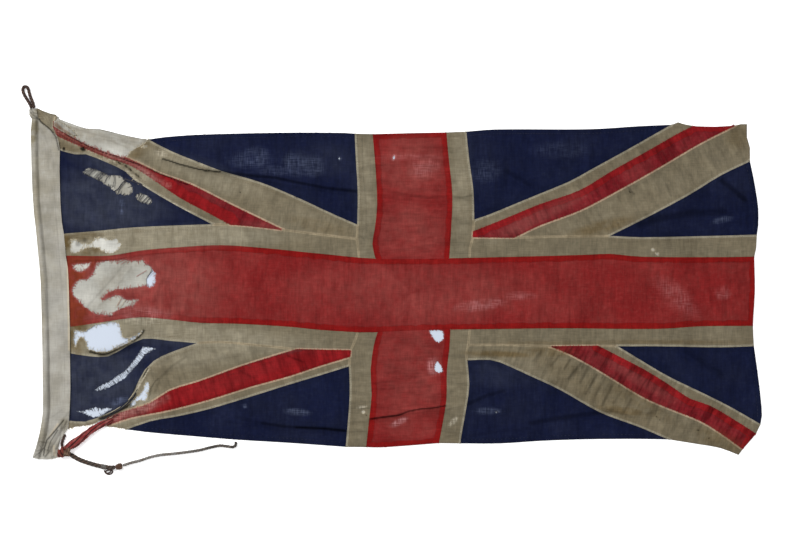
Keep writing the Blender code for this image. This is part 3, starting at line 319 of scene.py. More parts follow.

# Painted shade of dark creases, of seams in shadow and of rolled edges: line in pixels, half-width in metres,
# strength
CREASE_SHADE_LINES = [
    ([(163, 159), (170, 161), (180, 164.5), (190, 167), (200, 169.5), (210, 171), (222, 172)], 0.0022, 1),
    ([(112, 163.5), (124, 168.5), (134, 173.5)], 0.0065, 0.3),
    ([(205, 170.6), (222, 172), (248, 175.5), (276, 177.8), (300, 183), (326, 188),
        (356, 191.3)], 0.0055, 0.6),
    ([(357, 189.6), (368, 190.6), (377, 190)], 0.005, 0.22),
    ([(377, 188), (392, 192), (410, 196)], 0.007, 0.26),
    ([(410, 196), (428, 197.5), (447, 196.5)], 0.005, 0.34),
    ([(454, 197), (463, 197.5), (472, 195)], 0.0035, 0.4), ([(352, 217), (366, 214)], 0.005, 0.15),
    ([(380, 228), (420, 232), (445, 226)], 0.008, 0.18),
    ([(370, 419), (384, 417), (397, 415.4), (402, 414)], 0.0034, 0.85),
    ([(400, 414.6), (408, 411.4), (420, 409), (434, 407.8), (445.6, 405.6)], 0.0026, 0.8),
    ([(447, 409.5), (455, 407.5), (463, 406)], 0.003, 0.3),
    ([(378, 383), (405, 379), (437, 373)], 0.0045, 0.25),
    ([(348, 409), (357, 408), (370, 408.6)], 0.0026, 0.3), ([(350, 432), (366, 431)], 0.0026, 0.25),
    ([(238, 417.5), (251, 420.8), (273, 424.8)], 0.007, 0.3),
    ([(262, 423), (282, 426), (298, 427.3)], 0.0055, 0.55),
    ([(296, 427.2), (325, 428.5), (345, 430.8)], 0.0048, 0.8),
    ([(505, 170), (518, 178), (530, 185)], 0.008, 0.35),
    ([(722, 181), (732, 189), (745, 200)], 0.009, 0.5),
    ([(640, 224), (662, 218), (690, 213), (724, 212)], 0.013, 0.45),
    ([(690, 354), (706, 364), (719, 373)], 0.014, 0.3),
    ([(684, 351), (697, 358), (711, 368)], 0.009, 0.22),
    ([(468, 404), (488, 395), (503, 391)], 0.007, 0.45),
    ([(531, 423), (563, 417.5), (586, 414.3), (612, 411)], 0.0085, 0.45),
    ([(470, 436), (500, 431), (530, 428)], 0.006, 0.25), ([(476, 214), (492, 208)], 0.005, 0.25),
    ([(559, 356), (551, 365.5)], 0.0045, 0.4), ([(570, 359.7), (564.6, 369)], 0.0045, 0.45),
    ([(580.6, 363.5), (568.4, 378.6)], 0.0045, 0.45), ([(589, 365.4), (580.6, 382.4)], 0.005, 0.4),
    ([(596.7, 374.8), (585.4, 393.7)], 0.005, 0.45), ([(605, 377), (595, 395.6)], 0.0045, 0.35),
    ([(612, 386), (602.4, 405)], 0.005, 0.45), ([(621, 392), (613.7, 403)], 0.0045, 0.35),
    ([(631, 399), (623, 414.5)], 0.0045, 0.4), ([(602, 409), (620, 413), (634.5, 418)], 0.005, 0.35),
    ([(646, 414.5), (661, 409)], 0.004, 0.3), ([(541, 352), (533, 361)], 0.0045, 0.35),
    ([(586, 356), (582, 368)], 0.0035, 0.45), ([(607, 362), (602, 378)], 0.0035, 0.4),
    ([(622, 374), (619, 386)], 0.0035, 0.4), ([(633, 383), (631, 394)], 0.0035, 0.35),
    ([(648, 391), (645, 402)], 0.0035, 0.35), ([(595, 351), (590, 360)], 0.0035, 0.35),
    ([(627, 186), (634, 194)], 0.0035, 0.4), ([(640, 152), (646, 158)], 0.0035, 0.35),
    ([(604, 170), (611, 178)], 0.0035, 0.3), ([(666, 137), (672, 145)], 0.0035, 0.3),
    ([(577, 186), (584, 192)], 0.0035, 0.3), ([(288, 356), (303, 362)], 0.0035, 0.45),
    ([(240, 371), (254, 378)], 0.0035, 0.35), ([(620, 150), (640, 147), (652, 150)], 0.005, 0.2),
    ([(666, 184), (671, 196)], 0.0045, 0.35), ([(690, 172), (694, 184)], 0.0045, 0.25),
    ([(712, 142), (722, 152)], 0.005, 0.2),
    ([(158, 378.3), (154, 383), (151, 388), (149.8, 394), (148.6, 399)], 0.0022, 0.5),
    ([(186, 357), (172, 366), (160, 378), (155, 392)], 0.005, 0.35),
    ([(85, 308), (103, 288), (125, 262)], 0.006, 0.22), ([(93, 312), (112, 292), (131, 268)], 0.005, 0.15),
    ([(54, 123), (63, 131.8), (74, 138.6), (90, 147), (101, 151.4), (120, 157.8), (139, 164.6),
        (160, 173.6), (188, 184.8)], 0.0018, 0.95),
    ([(56, 131.5), (66, 138), (85, 147), (109, 157.6), (128, 165.6)], 0.0016, 0.6),
    ([(90, 351.8), (96.5, 353.4), (102.4, 354.4), (108.2, 353.6), (116.3, 350.2), (122.1, 347.4),
        (127.9, 344.5), (133.7, 341), (138.4, 337.4), (141.6, 333.9), (143.6, 330.6)], 0.0034, 1),
    ([(100, 418.5), (108, 415.5), (116, 412), (126, 407), (133, 403), (138, 398)], 0.0044, 1),
    ([(102, 421.5), (110, 418.8), (118, 415)], 0.002, 0.8),
    ([(148.3, 368), (145.4, 373), (140, 380.5), (133.2, 391.5), (129.4, 398.5)], 0.0014, 0.9),
    ([(118.4, 162.5), (121, 164.4)], 0.002, 1), ([(125.2, 165.6), (127.4, 167.4)], 0.0022, 1),
    ([(129.4, 168.6), (131.6, 170.6)], 0.0022, 1), ([(136, 174), (138.4, 176.4)], 0.002, 0.9),
    ([(116, 161), (130, 169), (141, 178.5)], 0.0016, 0.5),
    ([(357, 135), (358.8, 161), (361, 191), (359.6, 214)], 0.0014, 0.35),
    ([(112, 428.6), (118, 430.6), (124, 430.4), (130, 432)], 0.0018, 0.8),
    ([(59.4, 143), (59.4, 170), (60, 200), (62.6, 235), (66.4, 262), (68.6, 300), (69.8, 345), (70, 380),
        (70, 418)], 0.003, 0.75),
    ([(362, 136), (363, 170), (366, 205), (366.5, 232)], 0.0022, 0.35),
    ([(468, 134), (470, 170), (473, 205), (474, 232)], 0.0018, 0.25),
    ([(355.5, 232), (365, 240), (357, 247)], 0.0016, 0.25),
    ([(66, 126), (82, 131), (100, 136), (140, 143)], 0.004, 0.25),
    ([(95, 128), (120, 137), (135, 147)], 0.004, 0.22), ([(104, 139), (124, 146), (130, 151)], 0.003, 0.22)]

# The same painted crease shade on the heading and tab
CANVAS_CREASE_SHADE = [
    ([(64, 420), (55, 431), (47, 440), (44.5, 448), (44, 455)], 0.0022, 0.9),
    ([(58, 430), (51, 441), (48, 450)], 0.002, 0.75),
    ([(67, 421), (59, 436), (51, 449), (46, 456)], 0.0024, 0.45),
    ([(40, 437), (38, 447), (36, 456)], 0.003, 0.4), ([(36, 451), (44, 449), (52, 452)], 0.002, 0.5),
    ([(62, 424), (60.5, 436), (59, 447), (57, 457)], 0.0026, 0.45),
    ([(44, 420), (52, 417), (62, 410)], 0.003, 0.25), ([(46, 444), (42, 451), (34, 457)], 0.0018, 0.6),
    ([(49, 452), (45, 457)], 0.0018, 0.6),
    ([(37, 118), (44, 124), (51, 130), (56, 137), (59, 150)], 0.002, 0.8),
    ([(39.2, 118.6), (40.8, 122.2), (43, 123.9), (47, 126.2), (51, 130), (53.8, 133.4)], 0.0013, 1),
    ([(49.8, 115), (48.8, 121), (47.8, 125)], 0.001, 0.5),
    ([(52.2, 114.5), (51.4, 121), (50.6, 127)], 0.001, 0.55),
    ([(38.5, 109.6), (43, 111.6), (49, 113.6), (55.4, 115.2)], 0.0012, 0.6),
    ([(36.6, 122), (37.6, 130), (38.6, 142), (37.8, 156)], 0.003, 0.35),
    ([(31, 112), (34, 116), (38, 117.6)], 0.0014, 0.7),
    ([(34, 104.6), (35.4, 109), (39.2, 112.4)], 0.0012, 0.6),
    ([(32, 108.6), (36.6, 111), (38.4, 115.6)], 0.0012, 0.5),
    ([(33, 112), (37, 120), (39, 130)], 0.0022, 0.45), ([(41, 112), (46, 118), (50, 128)], 0.0016, 0.35),
    ([(30, 108), (34, 113), (40, 114)], 0.0018, 0.6), ([(30, 117), (36, 119), (44, 119)], 0.0018, 0.55),
    ([(48.5, 330), (49, 360), (49.6, 400), (48, 432)], 0.0026, 0.32),
    ([(47, 240), (49, 300), (48.5, 330)], 0.004, 0.15), ([(29.5, 112), (35, 116), (43, 117)], 0.0016, 0.5),
    ([(33.5, 104.5), (37, 109), (38.5, 115)], 0.0014, 0.5),
    ([(36, 106), (42, 109.5), (50, 113)], 0.0018, 0.45), ([(43, 112), (48, 116), (50, 121)], 0.0014, 0.4),
    ([(31, 126), (33, 150), (34, 190)], 0.003, 0.25), ([(44, 132), (48, 146), (49, 170)], 0.003, 0.18),
    ([(36, 444), (41, 441), (46, 443)], 0.0016, 0.5), ([(40, 456), (42, 448), (39, 443)], 0.0016, 0.45),
    ([(53, 446), (51, 452), (52, 457)], 0.0016, 0.45), ([(66, 424), (64, 431), (65, 436)], 0.0016, 0.5),
    ([(53.5, 160), (55, 200), (58, 240), (63, 300), (64.5, 350), (65, 400)], 0.0022, 0.22),
    ([(50.5, 118), (50, 124), (48, 129)], 0.0016, 0.5), ([(57.5, 120), (56.5, 126)], 0.0024, 0.9)]

# Bleached and bare lines on the heading and tab
CANVAS_PALE = [
    ([(54.6, 117), (53.9, 122), (52.8, 128)], 0.0012, 0.8),
    ([(67.3, 255), (68.4, 300), (69.2, 350)], 0.0022, 0.8),
    ([(36, 180), (39, 260), (41.5, 340), (42, 400)], 0.005, 0.1), ([(58, 424), (50, 436)], 0.003, 0.5),
    ([(54, 446), (55, 455)], 0.003, 0.5)]

# Loose threads across the holes of the upper hoist, others that show, and dark tubes of painted shadow:
# colour, radius, pixel line
LOOSE_THREADS = [
    ("navy", 0.0005, [(91.5, 168), (87, 170.5), (82.5, 174)]),
    ("navy", 0.0005, [(95, 169), (90.5, 172), (86.5, 175.6)]),
    ("navy", 0.0004, [(98, 170), (94, 173), (89, 177)]),
    ("navy", 0.0005, [(101.5, 171.5), (97.5, 173.5), (93.5, 177.8)]),
    ("navy", 0.0007, [(107, 173), (101.5, 175), (97.5, 180)]),
    ("navy", 0.0005, [(109, 173.5), (103, 176), (99, 181)]),
    ("navy", 0.0004, [(113.5, 174), (114.2, 180), (112.5, 187)]),
    ("navy", 0.0004, [(115, 174.5), (115.4, 181), (114.5, 188.5)]),
    ("navy", 0.001, [(125.5, 180.2), (121.5, 184), (118.5, 188.5), (114.8, 191.2)]),
    ("navy", 0.0007, [(126.5, 181.5), (122.5, 185.6), (119.5, 190), (117.6, 194)]),
    ("navy", 0.0009, [(124, 179.5), (130, 181), (138, 183.5), (144, 187.3)]),
    ("navy", 0.0006, [(139.5, 193), (138.3, 196.5), (136.2, 200)]),
    ("navy", 0.0006, [(144.5, 195), (141, 199), (139.5, 202)]),
    ("navy", 0.0008, [(147.5, 197), (144, 200.5), (142, 204)]),
    ("navy", 0.0016, [(125, 178.7), (131, 181), (138, 183), (142.5, 184.6)]),
    ("white", 0.0005, [(131, 181.5), (133.5, 179.2), (137, 179.8), (139.5, 182.6), (138, 184.6)]),
    ("white", 0.0004, [(68.8, 428.6), (70.2, 431), (71.5, 433.6), (73.4, 436.5)]),
    ("red", 0.0005, [(136.5, 276.5), (141, 273.8), (146.5, 270.5)]),
    ("red", 0.0004, [(117, 263.8), (122, 260.6), (127, 258.8)]),
    ("red", 0.0004, [(121, 264.5), (126, 261.2), (129.5, 259.6)]),
    ("red", 0.0004, [(117.5, 306), (120, 301.5), (122.5, 297.8)]),
    ("navy", 0.0006, [(147.5, 276.5), (150.5, 273.5), (153, 270.8)]),
    ("navy", 0.0007, [(142.4, 193.8), (139.9, 197.5), (138.2, 201)]),
    ("navy", 0.0007, [(150, 198.3), (147.2, 201.3), (145.4, 204)]),
    ("navy", 0.0006, [(151.8, 200.2), (149.6, 203.6)]),
    ("navy", 0.0008, [(104, 172.4), (99.4, 174.2), (95.4, 179)]),
    ("navy", 0.0007, [(96.6, 169.4), (92.4, 171.6), (88, 176.6)]),
    ("navy", 0.0007, [(93.2, 168.4), (88.6, 171.4), (84.8, 174.6)]),
    ("navy", 0.0006, [(111, 174.2), (107, 178), (104.6, 183.4)]),
    # Two dark tubes: painted shadow under the rolled edge of the lower hoist, not threads
    ("dark", 0.0016, [(136, 392.6), (134.6, 395.4), (131.6, 399.4), (128.4, 402.8), (124.4, 406.2),
        (120.4, 409.2), (116, 411.8), (112, 414.2), (107, 416.6), (101, 418.8)]),
    ("dark", 0.0008, [(137.4, 389), (135.2, 393), (132.6, 397.4), (127.6, 401.4), (122, 406.4),
        (117, 409.6), (110.4, 413.4)]),
    ("white", 0.0009, [(134.2, 392.6), (131.2, 396.6), (128.4, 400.2)]),
    ("white", 0.0008, [(120.6, 406.6), (116.2, 409.4), (111, 412.2)]),
    ("white", 0.0008, [(112.6, 416.6), (107.2, 419), (102, 420.8)]),
    ("white", 0.0005, [(116, 307), (119, 301.5), (121, 297)]),
    ("white", 0.0005, [(120, 308), (124, 302), (125.5, 300)])]

# Ladders, where one way of the weave is worn out: start, end, threads, half-length in pixels, lean in degrees
LADDERS = [
    ((97, 389), (132, 367), 30, 4.4, -48), ((131, 367), (149, 351), 14, 5, -40),
    ((80, 410.5), (94, 409), 7, 2.4, 110)]

# Ropes and cords, close to the solids' routes, with the heights in metres of points that are lifted
BECKET_ROUTE = [
    (31.3, 108.3), (31.1, 106.6), (29.7, 103.6), (27.7, 100.3), (25.3, 96.5), (23.4, 92.5), (23, 89.5),
    (24.1, 87.1), (26.3, 86.7), (28, 88.3), (29, 91.5), (30, 95.3), (31.4, 99.2), (33, 103), (33.8, 106.4),
    (33.9, 108.3)]
SLEEVE_ROUTE = [(65.4, 434.3), (63.9, 437.7), (62.6, 440.9), (62, 444), (62.4, 446.8)]
STRIP_TAIL_ROUTE = [
    (113, 419.4), (108.5, 421.2), (103.5, 423.3), (97, 426.8), (91.5, 430.3), (86, 434.4), (80.5, 438.8),
    (75, 442.8), (69.5, 446.4), (66.5, 449), (64.2, 451.2)]
STRIP_TAIL_RADIUS = [0.0022, 0.0052, 0.0062, 0.0064, 0.0066, 0.0072, 0.008, 0.0084, 0.0074, 0.0064, 0.005]
ROPE_TAIL_ROUTE = [
    (70.3, 454), (74.6, 456.8), (79, 459.2), (84, 461.2), (90, 463.2), (98, 465.4), (106, 467),
    (111, 467.5), (115.6, 467.1)]
ROPE_TAIL_LIFT = {7: 0.0012, 8: 0.0024}
THIN_CORD_ROUTE = [
    (123, 465.3), (130, 463), (140, 460.5), (150, 457.2), (160, 455), (172, 453.8), (186, 452.2),
    (200, 450), (210, 447.5), (220, 445.6), (228, 446.4), (233, 446.9), (235.6, 445.2), (235.8, 441.6)]
THIN_CORD_LIFT = {0: 0.0037, 1: 0.0010}
KNOT_PX = (65.3, 452.0)
SEIZING_PX = ((116.0, 467.2), (122.6, 465.4))
WHIPPING_PX = ((101.6, 466.1), (106.4, 467.1))
TWINE_RING = [
    (104.2, 470.2), (105, 472.2), (107.2, 474), (110, 474.2), (112.3, 472.6), (112.4, 470.8), (110.2, 470),
    (107.4, 470.4), (105.6, 471.6), (106.8, 473.2), (109.4, 472.6), (111, 471.2), (110.6, 470.4)]
KNOT_HEIGHT = 0.0108  # of the middle of the knot
SEIZING_HEIGHT = 0.0066


def srgb(red, green, blue):
    """A colour as it looks on screen, from 0 to 255, made linear."""
    parts = (value / 255 for value in (red, green, blue))
    return tuple(part / 12.92 if part <= 0.04045 else ((part + 0.055) / 1.055) ** 2.4 for part in parts)


def shades_of(*shades):
    return [srgb(*shade) for shade in shades]


def colour_prop(name, description, shade):
    return FloatVectorProperty(
        name=name, description=description, subtype="COLOR", size=3, min=0.0, max=1.0, default=srgb(*shade))


def length_prop(name, description, metres):
    return FloatProperty(
        name=name, description=description, default=metres, min=0.0, subtype="DISTANCE", unit="LENGTH")


class WoolSettings(bpy.types.PropertyGroup):
    """Sizes and colours of the wool panels."""

    pitch: length_prop("Mesh pitch", "Distance between the points of a sheet", 0.0026)
    thread: length_prop("Thread", "Distance between two threads of the weave", 0.0011)
    ripple: length_prop("Ripple", "Height of the soft unevenness of the cloth", 0.0004)
    navy: colour_prop("Navy", "Blue wool", (19, 24, 49))
    navy_faded: colour_prop("Faded navy", "Blue wool where it is faded", (52, 56, 70))
    red: colour_prop("Red", "Red wool inside the seams", (121, 33, 33))
    red_band: colour_prop("Red band", "Red wool where it is doubled", (126, 20, 19))
    red_faded: colour_prop("Faded red", "Red wool where it is faded", (135, 69, 64))
    white: colour_prop("White", "White wool, yellowed and dusty", (111, 102, 83))
    white_band: colour_prop("White band", "White wool where it is doubled", (112, 103, 84))
    white_faded: colour_prop("Faded white", "White wool where it is thin", (146, 139, 120))


class CanvasSettings(bpy.types.PropertyGroup):
    """Sizes and colours of the heading, tab and patch."""

    pitch: length_prop("Mesh pitch", "Distance between the points of a sheet", 0.0017)
    thread: length_prop("Thread", "Distance between two threads of the weave", 0.0012)
    heading: colour_prop("Heading", "Canvas of the heading", (161, 158, 150))
    tab: colour_prop("Tab", "Canvas of the corner tab", (136, 130, 113))
    patch: colour_prop("Patch", "Canvas of the backing patch", (170, 169, 161))


class RopeSettings(bpy.types.PropertyGroup):
    """Sizes and colours of the ropes."""

    becket: length_prop("Becket", "Diameter of the becket's rope", 0.0066)
    tail: length_prop("Rope tail", "Diameter of the hoist rope's tail", 0.0090)
    cord: length_prop("Thin cord", "Diameter of the thin cord", 0.0058)
    sleeve: length_prop("Sleeve rope", "Diameter of the rope at the heading's foot", 0.0060)
    twine: length_prop("Twine", "Diameter of the twine", 0.0031)
    strands: IntProperty(name="Strands", description="Strands laid into a rope", default=3, min=2, max=6)
    dark: colour_prop("Dark rope", "Becket and sleeve rope", (62, 46, 40))
    tail_colour: colour_prop("Tail rope", "Hoist rope's tail", (72, 64, 58))
    cord_colour: colour_prop("Thin cord", "Thin cord beside the seizing", (132, 129, 124))
    cord_end: colour_prop("Cord end", "Thin cord at its free end", (62, 58, 54))


class StageSettings(bpy.types.PropertyGroup):
    """Floor, light and camera."""

    floor: length_prop("Floor", "Length of the floor's side", 9.0)
    height: length_prop("Camera height", "Height of the camera over the flag", 3.72)
    lens: FloatProperty(name="Lens", description="Focal length", default=85.0, min=10.0, unit="CAMERA")
    sky: FloatProperty(name="Sky", description="Strength of the even light", default=0.52, min=0.0)
    window: FloatProperty(
        name="Soft light", description="Power of the large soft light", default=246.0, min=0.0)


def at(pixel):
    """Where a photograph pixel lies on the surface, in metres."""
    return Vector(((pixel[0] - CENTRE_PX[0]) * PIXEL, (CENTRE_PX[1] - pixel[1]) * PIXEL))


def x_at(pixel):
    """How far to the fly a pixel column lies."""
    return at((pixel, 0)).x


def y_at(pixel):
    """How far up the flag a pixel row lies."""
    return at((0, pixel)).y


def line_at(pixels):
    """A line of pixels as an array of places."""
    return np.array([at(pixel)[:] for pixel in pixels])


def ease(t):
    """A soft step from 0 to 1."""
    t = np.clip(t, 0.0, 1.0)
    return t * t * (3 - 2 * t)


def distance_to(points, starts, ends):
    """How far each point is from the nearest of some straight runs, looked for up to a limit."""
    best = np.full(len(points), 9.0)
    if not len(starts) or not len(points):
        return best
    run = ends - starts
    squared = np.maximum((run**2).sum(1), SMALL**2)
    low = np.minimum(starts, ends)
    high = np.maximum(starts, ends)
    cells = np.floor(points / SEARCH).astype(int)
    keys, which = np.unique(cells, axis=0, return_inverse=True)
    order = np.argsort(which.ravel(), kind="stable")
    groups = np.split(order, np.cumsum(np.bincount(which.ravel()))[:-1])
    for cell, here in zip(keys, groups):
        close = ((high > (cell - 1) * SEARCH) & (low < (cell + 2) * SEARCH)).all(1)
        if close.any():
            away = points[here][:, None, :] - starts[close][None]
            share = np.clip((away * run[close]).sum(2) / squared[close], 0, 1)
            away -= share[..., None] * run[close]
            best[here] = np.sqrt((away**2).sum(2)).min(1)
    return best


def distance_to_line(points, line):
    return distance_to(points, line[:-1], line[1:])


def distance_to_loop(points, loop):
    return distance_to(points, loop, np.roll(loop, -1, axis=0))


def inside(points, loops):
    """Which points are in the outline and in none of its holes."""
    found = np.zeros(len(points), bool)
    for loop in loops:
        a = loop
        b = np.roll(loop, -1, axis=0)
        slope = (b[:, 0] - a[:, 0]) / np.where(b[:, 1] == a[:, 1], 1.0, b[:, 1] - a[:, 1])
        low = np.minimum(a[:, 1], b[:, 1])
        high = np.maximum(a[:, 1], b[:, 1])
        for first in range(0, len(points), BLOCK):
            x = points[first:first + BLOCK, 0, None]
            y = points[first:first + BLOCK, 1, None]
            near_row = (high >= y.min()) & (low <= y.max())
            a_y = a[near_row, 1]
            crossed = ((a_y > y) != (b[near_row, 1] > y)) & (x < a[near_row, 0] + slope[near_row] * (y - a_y))
            found[first:first + BLOCK] ^= (crossed.sum(1) % 2).astype(bool)
    return found


def ripple(points, wavelength, seed):
    """A soft random unevenness from -1 to 1."""
    draw = random.Random(seed)
    total = np.zeros(len(points))
    for _ in range(7):
        angle = draw.uniform(0, math.pi)
        number = math.tau / (wavelength * draw.uniform(0.6, 1.7))
        along = points[:, 0] * math.cos(angle) + points[:, 1] * math.sin(angle)
        total += np.sin(along * number + draw.uniform(0, 9))
    return total / 4


def fold_rise(points, folds):
    """How far folds or creases lift a sheet at each point."""
    rise = np.zeros(len(points))
    for line, height, width in folds:
        rise = np.maximum(rise, height * ease(1 - distance_to_line(points, line_at(line)) / width))
    return rise


def blots(points, places):
    """A mask of listed blots, soft and uneven at their rims."""
    mask = np.zeros(len(points))
    for x, y, long, wide, slope, strength in places:
        away = points - np.array(at((x, y))[:])
        turn = math.radians(-slope)
        along = (away[:, 0] * math.cos(turn) + away[:, 1] * math.sin(turn)) / (long * PIXEL)
        across = (away[:, 1] * math.cos(turn) - away[:, 0] * math.sin(turn)) / (wide * PIXEL)
        reach = np.sqrt(along**2 + across**2)
        mask = np.maximum(mask, strength * ease(1.5 - reach))
    return mask


def merged(node):
    """A welded copy of a node's mesh, as a bmesh."""
    build = bmesh.new()
    build.from_mesh(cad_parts[node].data)
    bmesh.ops.remove_doubles(build, verts=build.verts[:], dist=0.00002)
    return build


def outline_loops(node, keep_right_of=None):
    """The outline of a sheet's underside and its holes, outline first, each as an array of places."""
    build = merged(node)
    if keep_right_of is not None:
        bmesh.ops.bisect_plane(
            build, geom=build.verts[:] + build.edges[:] + build.faces[:], dist=0.00001,
            plane_co=(keep_right_of, 0, 0), plane_no=(1, 0, 0), clear_inner=True)
    build.normal_update()
    under = {face for face in build.faces if face.normal.z < -0.3}
    rim = [edge for edge in build.edges if sum(face in under for face in edge.link_faces) == 1]
    links = {}
    for edge in rim:
        for corner in edge.verts:
            links.setdefault(corner, []).append(edge.other_vert(corner))
    loops = []
    while links:
        here = next(iter(links))
        loop = []
        while here in links:
            loop.append(here.co.to_2d()[:])
            onward = [other for other in links.pop(here) if other in links]
            if not onward:
                break
            here = onward[0]
        if len(loop) > 3:
            loops.append(np.array(loop))
    build.free()
    loops.sort(key=lambda loop: -abs(area_of(loop)))
    return loops


def area_of(loop):
    """The area inside a loop, below zero if it runs clockwise."""
    after = np.roll(loop, -1, axis=0)
    return float((loop[:, 0] * after[:, 1] - after[:, 0] * loop[:, 1]).sum() / 2)


def resampled(loop, step):
    """The same loop with points no more than step apart, running anticlockwise."""
    if area_of(loop) < 0:
        loop = loop[::-1]
    points = []
    for here, there in zip(loop, np.roll(loop, -1, axis=0)):
        pieces = max(1, math.ceil(np.linalg.norm(there - here) / step))
        points.extend(here + (there - here) * k / pieces for k in range(pieces))
    kept = [points[0]]
    for point in points[1:]:
        if np.linalg.norm(point - kept[-1]) > step * 0.25:
            kept.append(point)
    return np.array(kept)


def moved_out(loop, amounts):
    """The loop with each point moved outwards by its own amount."""
    run = np.roll(loop, -1, axis=0) - np.roll(loop, 1, axis=0)
    run /= np.maximum(np.linalg.norm(run, axis=1), SMALL)[:, None]
    return loop + np.stack([run[:, 1], -run[:, 0]], axis=1) * np.asarray(amounts)[:, None]


def colour_of(node):
    """The wool that a panel is cut from."""
    if node.startswith("navy"):
        return "navy"
    return "red" if node.startswith("red") else "white"


WOOL_NODES = [
    name for name in sorted(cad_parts)
    if name.startswith(("navy_", "red_", "wide_white_", "narrow_white_", "border_", "arm_border_"))]
TORN_STRIP = "red_strip_lower_hoist"
TORN_STRIP_CUT = x_at(107)
LESS_DOUBLED = {TORN_STRIP: 0.30, "red_strip_upper_hoist": 0.60}
OUTLINES = {
    name: outline_loops(name, TORN_STRIP_CUT if name == TORN_STRIP else None)
    for name in [*WOOL_NODES, "heading", "corner_tab", "backing_patch", "stained_rag"]}
OUTLINES[TORN_STRIP] = OUTLINES[TORN_STRIP][:1]
for panel, holes in HOLES.items():
    OUTLINES[panel][1:] = [line_at(hole) for hole in holes]
for panel, holes in MOTH_HOLES.items():
    OUTLINES[panel] += [line_at(hole) for hole in holes]


def neighbours_of(name, rim):
    """The colour sewn to each point of a panel's rim: 0 for none, or its rank, or CANVAS_RANK."""
    beside = np.zeros(len(rim), int)
    for other, loops in OUTLINES.items():
        if other == name or other in ("backing_patch", "stained_rag"):
            continue
        loop = loops[0]
        low = loop.min(0) - LOOP_MARGIN
        high = loop.max(0) + LOOP_MARGIN
        close = ((rim > low) & (rim < high)).all(1)
        if not close.any():
            continue
        near = distance_to_loop(rim[close], loop) < TOUCHING
        rank = RANK[colour_of(other)] if other in WOOL_NODES else CANVAS_RANK
        beside[np.flatnonzero(close)[near]] = rank
    return beside


def wool_floor(points):
    """Height of the wool's underside: over the patch, on a fold, or on the surface."""
    patch = OUTLINES["backing_patch"][0]
    away = distance_to_loop(points, patch)
    away[inside(points, [patch])] = 0.0
    return OVER_PATCH * ease(1 - (away - PATCH_LIP) / PATCH_RAMP) + fold_rise(points, FOLDS)


def heading_top(points):
    """The heading's upper face, with the hoist rope's bulge, its side crease and the canvas's creases."""
    from_edge = distance_to_line(points, line_at(HEADING_OUTER))
    along_rope = from_edge / (ROPE_RUN / 2) - 1
    bulge = (ROPE_BULGE - HEADING) * np.maximum(0.0, 1 - along_rope**2) ** np.where(along_rope > 0, 1.2, 0.5)
    crumple = ripple(points, 0.020, 3) * 0.0003 + ripple(points, 0.055, 4) * 0.0005
    ends = np.minimum(*(abs(points[:, 1] - y_at(pixel)) for pixel in HEADING_ENDS_PX))
    crumple += ripple(points, 0.011, 5) * 0.0011 * ease(1 - ends / 0.06)
    lower_end = ease((y_at(300) - points[:, 1]) / 0.15)
    groove = (0.0001 + 0.0006 * lower_end) * ease(1 - abs(from_edge - ROPE_RUN * 1.06) / 0.002)
    side_hem = 0.0005 * ease((0.052 - from_edge) / 0.001) * ease((from_edge - 0.044) / 0.001)
    top = HEADING + np.maximum(bulge, fold_rise(points, HEADING_CREASES)) + crumple - groove + side_hem
    return np.maximum(top, 0.0012)


def tab_top(points):
    """The corner tab's upper face."""
    return TAB + fold_rise(points, HEADING_CREASES) * 0.5 + ripple(points, 0.012, 8) * 0.0003


def patch_top(points):
    """The backing patch's upper face."""
    return CANVAS - 0.0003 + fold_rise(points, PATCH_CREASES) + np.abs(ripple(points, 0.05, 9)) * 0.0002


def own_axes(points):
    """Places across and along the points' own longest direction, from their middle."""
    centred = points - points.mean(0)
    _, axes = np.linalg.eigh(centred.T @ centred)
    return centred @ axes


def select_only(obj):
    bpy.ops.object.select_all(action="DESELECT")
    obj.select_set(True)
    bpy.context.view_layer.objects.active = obj


def new_object(name, mesh, *materials):
    obj = bpy.data.objects.new(name, mesh)
    bpy.context.scene.collection.objects.link(obj)
    for material in materials:
        mesh.materials.append(material)
    return obj


def filled_sheet(loops, pitch, clear=0.6):
    """A flat mesh of even triangles inside the loops: its points and its faces."""
    outline = loops[0]
    low = outline.min(0)
    high = outline.max(0)
    rise = pitch * math.sqrt(3) / 2
    rows = np.arange(math.floor(low[1] / rise), math.ceil(high[1] / rise) + 1)
    columns = np.arange(math.floor(low[0] / pitch) - 1, math.ceil(high[0] / pitch) + 1)
    grid = np.array([((i + 0.5 * (j % 2)) * pitch, j * rise) for j in rows for i in columns])
    grid = grid[inside(grid, loops)]
    for loop in loops:
        grid = grid[distance_to_loop(grid, loop) > pitch * clear]
    corners = []
    edges = []
    for loop in loops:
        start = len(corners)
        corners.extend(Vector(point) for point in loop)
        edges.extend((start + i, start + (i + 1) % len(loop)) for i in range(len(loop)))
    filled, _, faces, _, _, _ = delaunay_2d_cdt(corners + [Vector(p) for p in grid], edges, [], 0, 1e-8)
    points = np.array([point[:] for point in filled])
    faces = np.array(faces)
    faces = faces[inside(points[faces].mean(1), loops)]
    used = np.unique(faces)
    renumbered = np.full(len(points), -1)
    renumbered[used] = np.arange(len(used))
    return points[used], renumbered[faces]


def colour_layer(mesh, name, values):
    """Gives a mesh four values at each point, for its material to read."""
    layer = mesh.attributes.new(name, "FLOAT_COLOR", "POINT")
    layer.data.foreach_set("color", np.ascontiguousarray(values, dtype=np.float32).ravel())


def sheet_object(name, points, heights, faces, thickness, material, attributes):
    """A sheet from its upper face, made a closed cloth by Solidify."""
    mesh = bpy.data.meshes.new(name)
    mesh.from_pydata(np.column_stack([points, heights]).tolist(), [], faces.tolist())
    for key, values in attributes.items():
        colour_layer(mesh, key, values)
    obj = new_object(name, mesh, material)
    select_only(obj)
    solid = obj.modifiers.new("thickness", "SOLIDIFY")
    solid.thickness = thickness
    solid.offset = -1
    bpy.ops.object.modifier_apply(modifier=solid.name)
    bpy.ops.object.shade_smooth_by_angle(angle=math.radians(50))
    return obj


